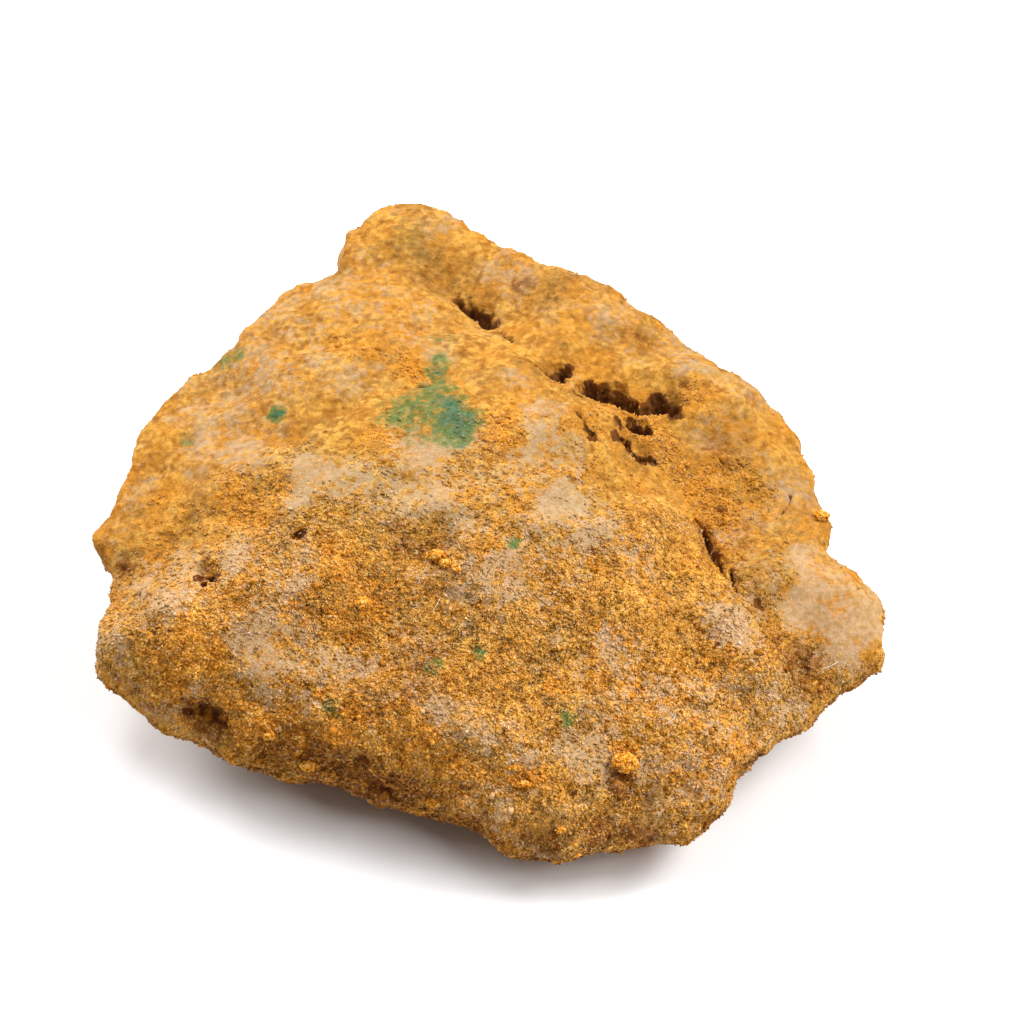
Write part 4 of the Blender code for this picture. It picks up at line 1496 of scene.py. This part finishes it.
class STONE_OT_fibres(Operator):
    """Lay the three stray fibres on the skin"""

    bl_idname = "stone.lay_fibres"
    bl_label = "Lay Fibres"

    def execute(self, context):
        skin = surface_piece()
        curve = bpy.data.curves.new("fibres", "CURVE")
        curve.dimensions = "3D"
        curve.bevel_depth = FIBRE_RADIUS * MM
        curve.bevel_resolution = 1
        curve.use_fill_caps = True
        for start, end, bow in FIBRES:
            start, end = (on_skin(skin, point, FIBRE_RADIUS) for point in (start, end))
            side = (end - start).cross(Vector((0.0, 0.0, 1.0))).normalized()
            line = curve.splines.new("POLY")
            line.points.add(FIBRE_STEPS - 1)
            for step, point in enumerate(line.points):
                along = step / (FIBRE_STEPS - 1)
                rise = math.sin(math.pi * along)
                place = start.lerp(end, along) + side * bow * rise + Vector((0.0, 0.0, FIBRE_LIFT * rise))
                point.co = (*(place * MM), 1.0)
        holder = bpy.data.objects.new("fibres", curve)
        context.scene.collection.objects.link(holder)
        context.view_layer.update()
        mesh = bpy.data.meshes.new_from_object(holder.evaluated_get(context.evaluated_depsgraph_get()))
        bpy.data.objects.remove(holder)
        finish_piece(new_piece("stray_fibres", mesh), fibre_material(context.scene.stone_colours))
        return {"FINISHED"}


class STONE_OT_stage(Operator):
    """Set the pale floor, the soft lamps and the camera"""

    bl_idname = "stone.set_stage"
    bl_label = "Set Stage"

    def execute(self, context):
        settings = context.scene.stone_stage
        self.make_floor(context.scene, settings)
        for name, turn, height, power in LAMPS:
            self.make_lamp(context.scene, name, turn, height, power * settings.light)
        self.make_sky(context.scene, settings.sky)
        self.make_camera(context.scene, settings)
        context.scene.view_settings.view_transform = "Standard"
        context.scene.view_settings.look = "None"
        return {"FINISHED"}

    def make_floor(self, scene, settings):
        """A wide plain floor under the stone."""
        half = FLOOR_HALF
        corners = [(-half, -half, 0.0), (half, -half, 0.0), (half, half, 0.0), (-half, half, 0.0)]
        mesh = bpy.data.meshes.new("floor")
        mesh.from_pydata(corners, [], [(0, 1, 2, 3)])
        floor = bpy.data.objects.new("floor", mesh)
        scene.collection.objects.link(floor)
        material, _, shader = start_material("pale_floor", 0.9, 0.1)
        shader.inputs["Base Color"].default_value = solid(settings.floor_tone)
        mesh.materials.append(material)
        floor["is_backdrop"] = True

    def make_lamp(self, scene, name, turn, height, power):
        """A square soft lamp that faces the stone."""
        light = bpy.data.lights.new(name, "AREA")
        light.shape = "SQUARE"
        light.size = LAMP_SIZE * MM
        light.energy = power
        lamp = bpy.data.objects.new(name, light)
        turn, height = math.radians(turn), math.radians(height)
        flat = math.cos(height)
        way = Vector((math.sin(turn) * flat, math.cos(turn) * flat, math.sin(height)))
        lamp.location = (Vector(AIM) + way * LAMP_DISTANCE) * MM
        lamp.rotation_euler = (-way).to_track_quat("-Z", "Y").to_euler()
        scene.collection.objects.link(lamp)

    def make_sky(self, scene, strength):
        """Even white light from all round."""
        world = bpy.data.worlds.new("sky")
        world.use_nodes = True
        shade = world.node_tree.nodes["Background"]
        shade.inputs["Color"].default_value = (1.0, 1.0, 1.0, 1.0)
        shade.inputs["Strength"].default_value = strength
        scene.world = world

    def make_camera(self, scene, settings):
        """The camera, straight in front and looking down on the stone."""
        lens = bpy.data.cameras.new("camera")
        lens.lens = settings.lens
        lens.sensor_width = SENSOR_WIDTH
        lens.clip_start, lens.clip_end = CLIP_RANGE
        camera = bpy.data.objects.new("camera", lens)
        tilt = math.radians(ELEVATION)
        back = Vector((0.0, -math.cos(tilt), math.sin(tilt))) * settings.camera_distance
        camera.location = Vector(AIM) * MM + back
        camera.rotation_euler = (math.pi / 2 - tilt, 0.0, 0.0)
        scene.collection.objects.link(camera)
        scene.camera = camera


STEPS = (STONE_OT_surface, STONE_OT_sand, STONE_OT_crumbs, STONE_OT_fibres, STONE_OT_stage)


class STONE_PT_dresser(Panel):
    """The steps that dress the stone, with their sizes and colours"""

    bl_idname = "STONE_PT_dresser"
    bl_label = "Raw Stone"
    bl_space_type = "VIEW_3D"
    bl_region_type = "UI"
    bl_category = "Raw Stone"

    def draw(self, context):
        for step in STEPS:
            self.layout.operator(step.bl_idname)
        for settings in (context.scene.stone_sizes, context.scene.stone_colours, context.scene.stone_stage):
            box = self.layout.box()
            for name in settings.__annotations__:
                box.prop(settings, name)


CLASSES = (StoneSizes, StoneColours, StageSettings, *STEPS, STONE_PT_dresser)


def register():
    """Adds the classes and the settings to Blender."""
    for kind in CLASSES:
        bpy.utils.register_class(kind)
    bpy.types.Scene.stone_sizes = PointerProperty(type=StoneSizes)
    bpy.types.Scene.stone_colours = PointerProperty(type=StoneColours)
    bpy.types.Scene.stone_stage = PointerProperty(type=StageSettings)


def unregister():
    """Takes the settings and the classes away again."""
    del bpy.types.Scene.stone_stage
    del bpy.types.Scene.stone_colours
    del bpy.types.Scene.stone_sizes
    for kind in reversed(CLASSES):
        bpy.utils.unregister_class(kind)


def main():
    """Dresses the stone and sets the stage."""
    register()
    bpy.ops.stone.build_surface()
    bpy.ops.stone.scatter_sand()
    bpy.ops.stone.build_crumbs()
    bpy.ops.stone.lay_fibres()
    bpy.ops.stone.set_stage()
    boxes = {"cad": CAD_BOX, "visual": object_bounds()}
    boxes = {name: [list(corner) for corner in box] for name, box in boxes.items()}


if __name__ == "__main__":
    main()
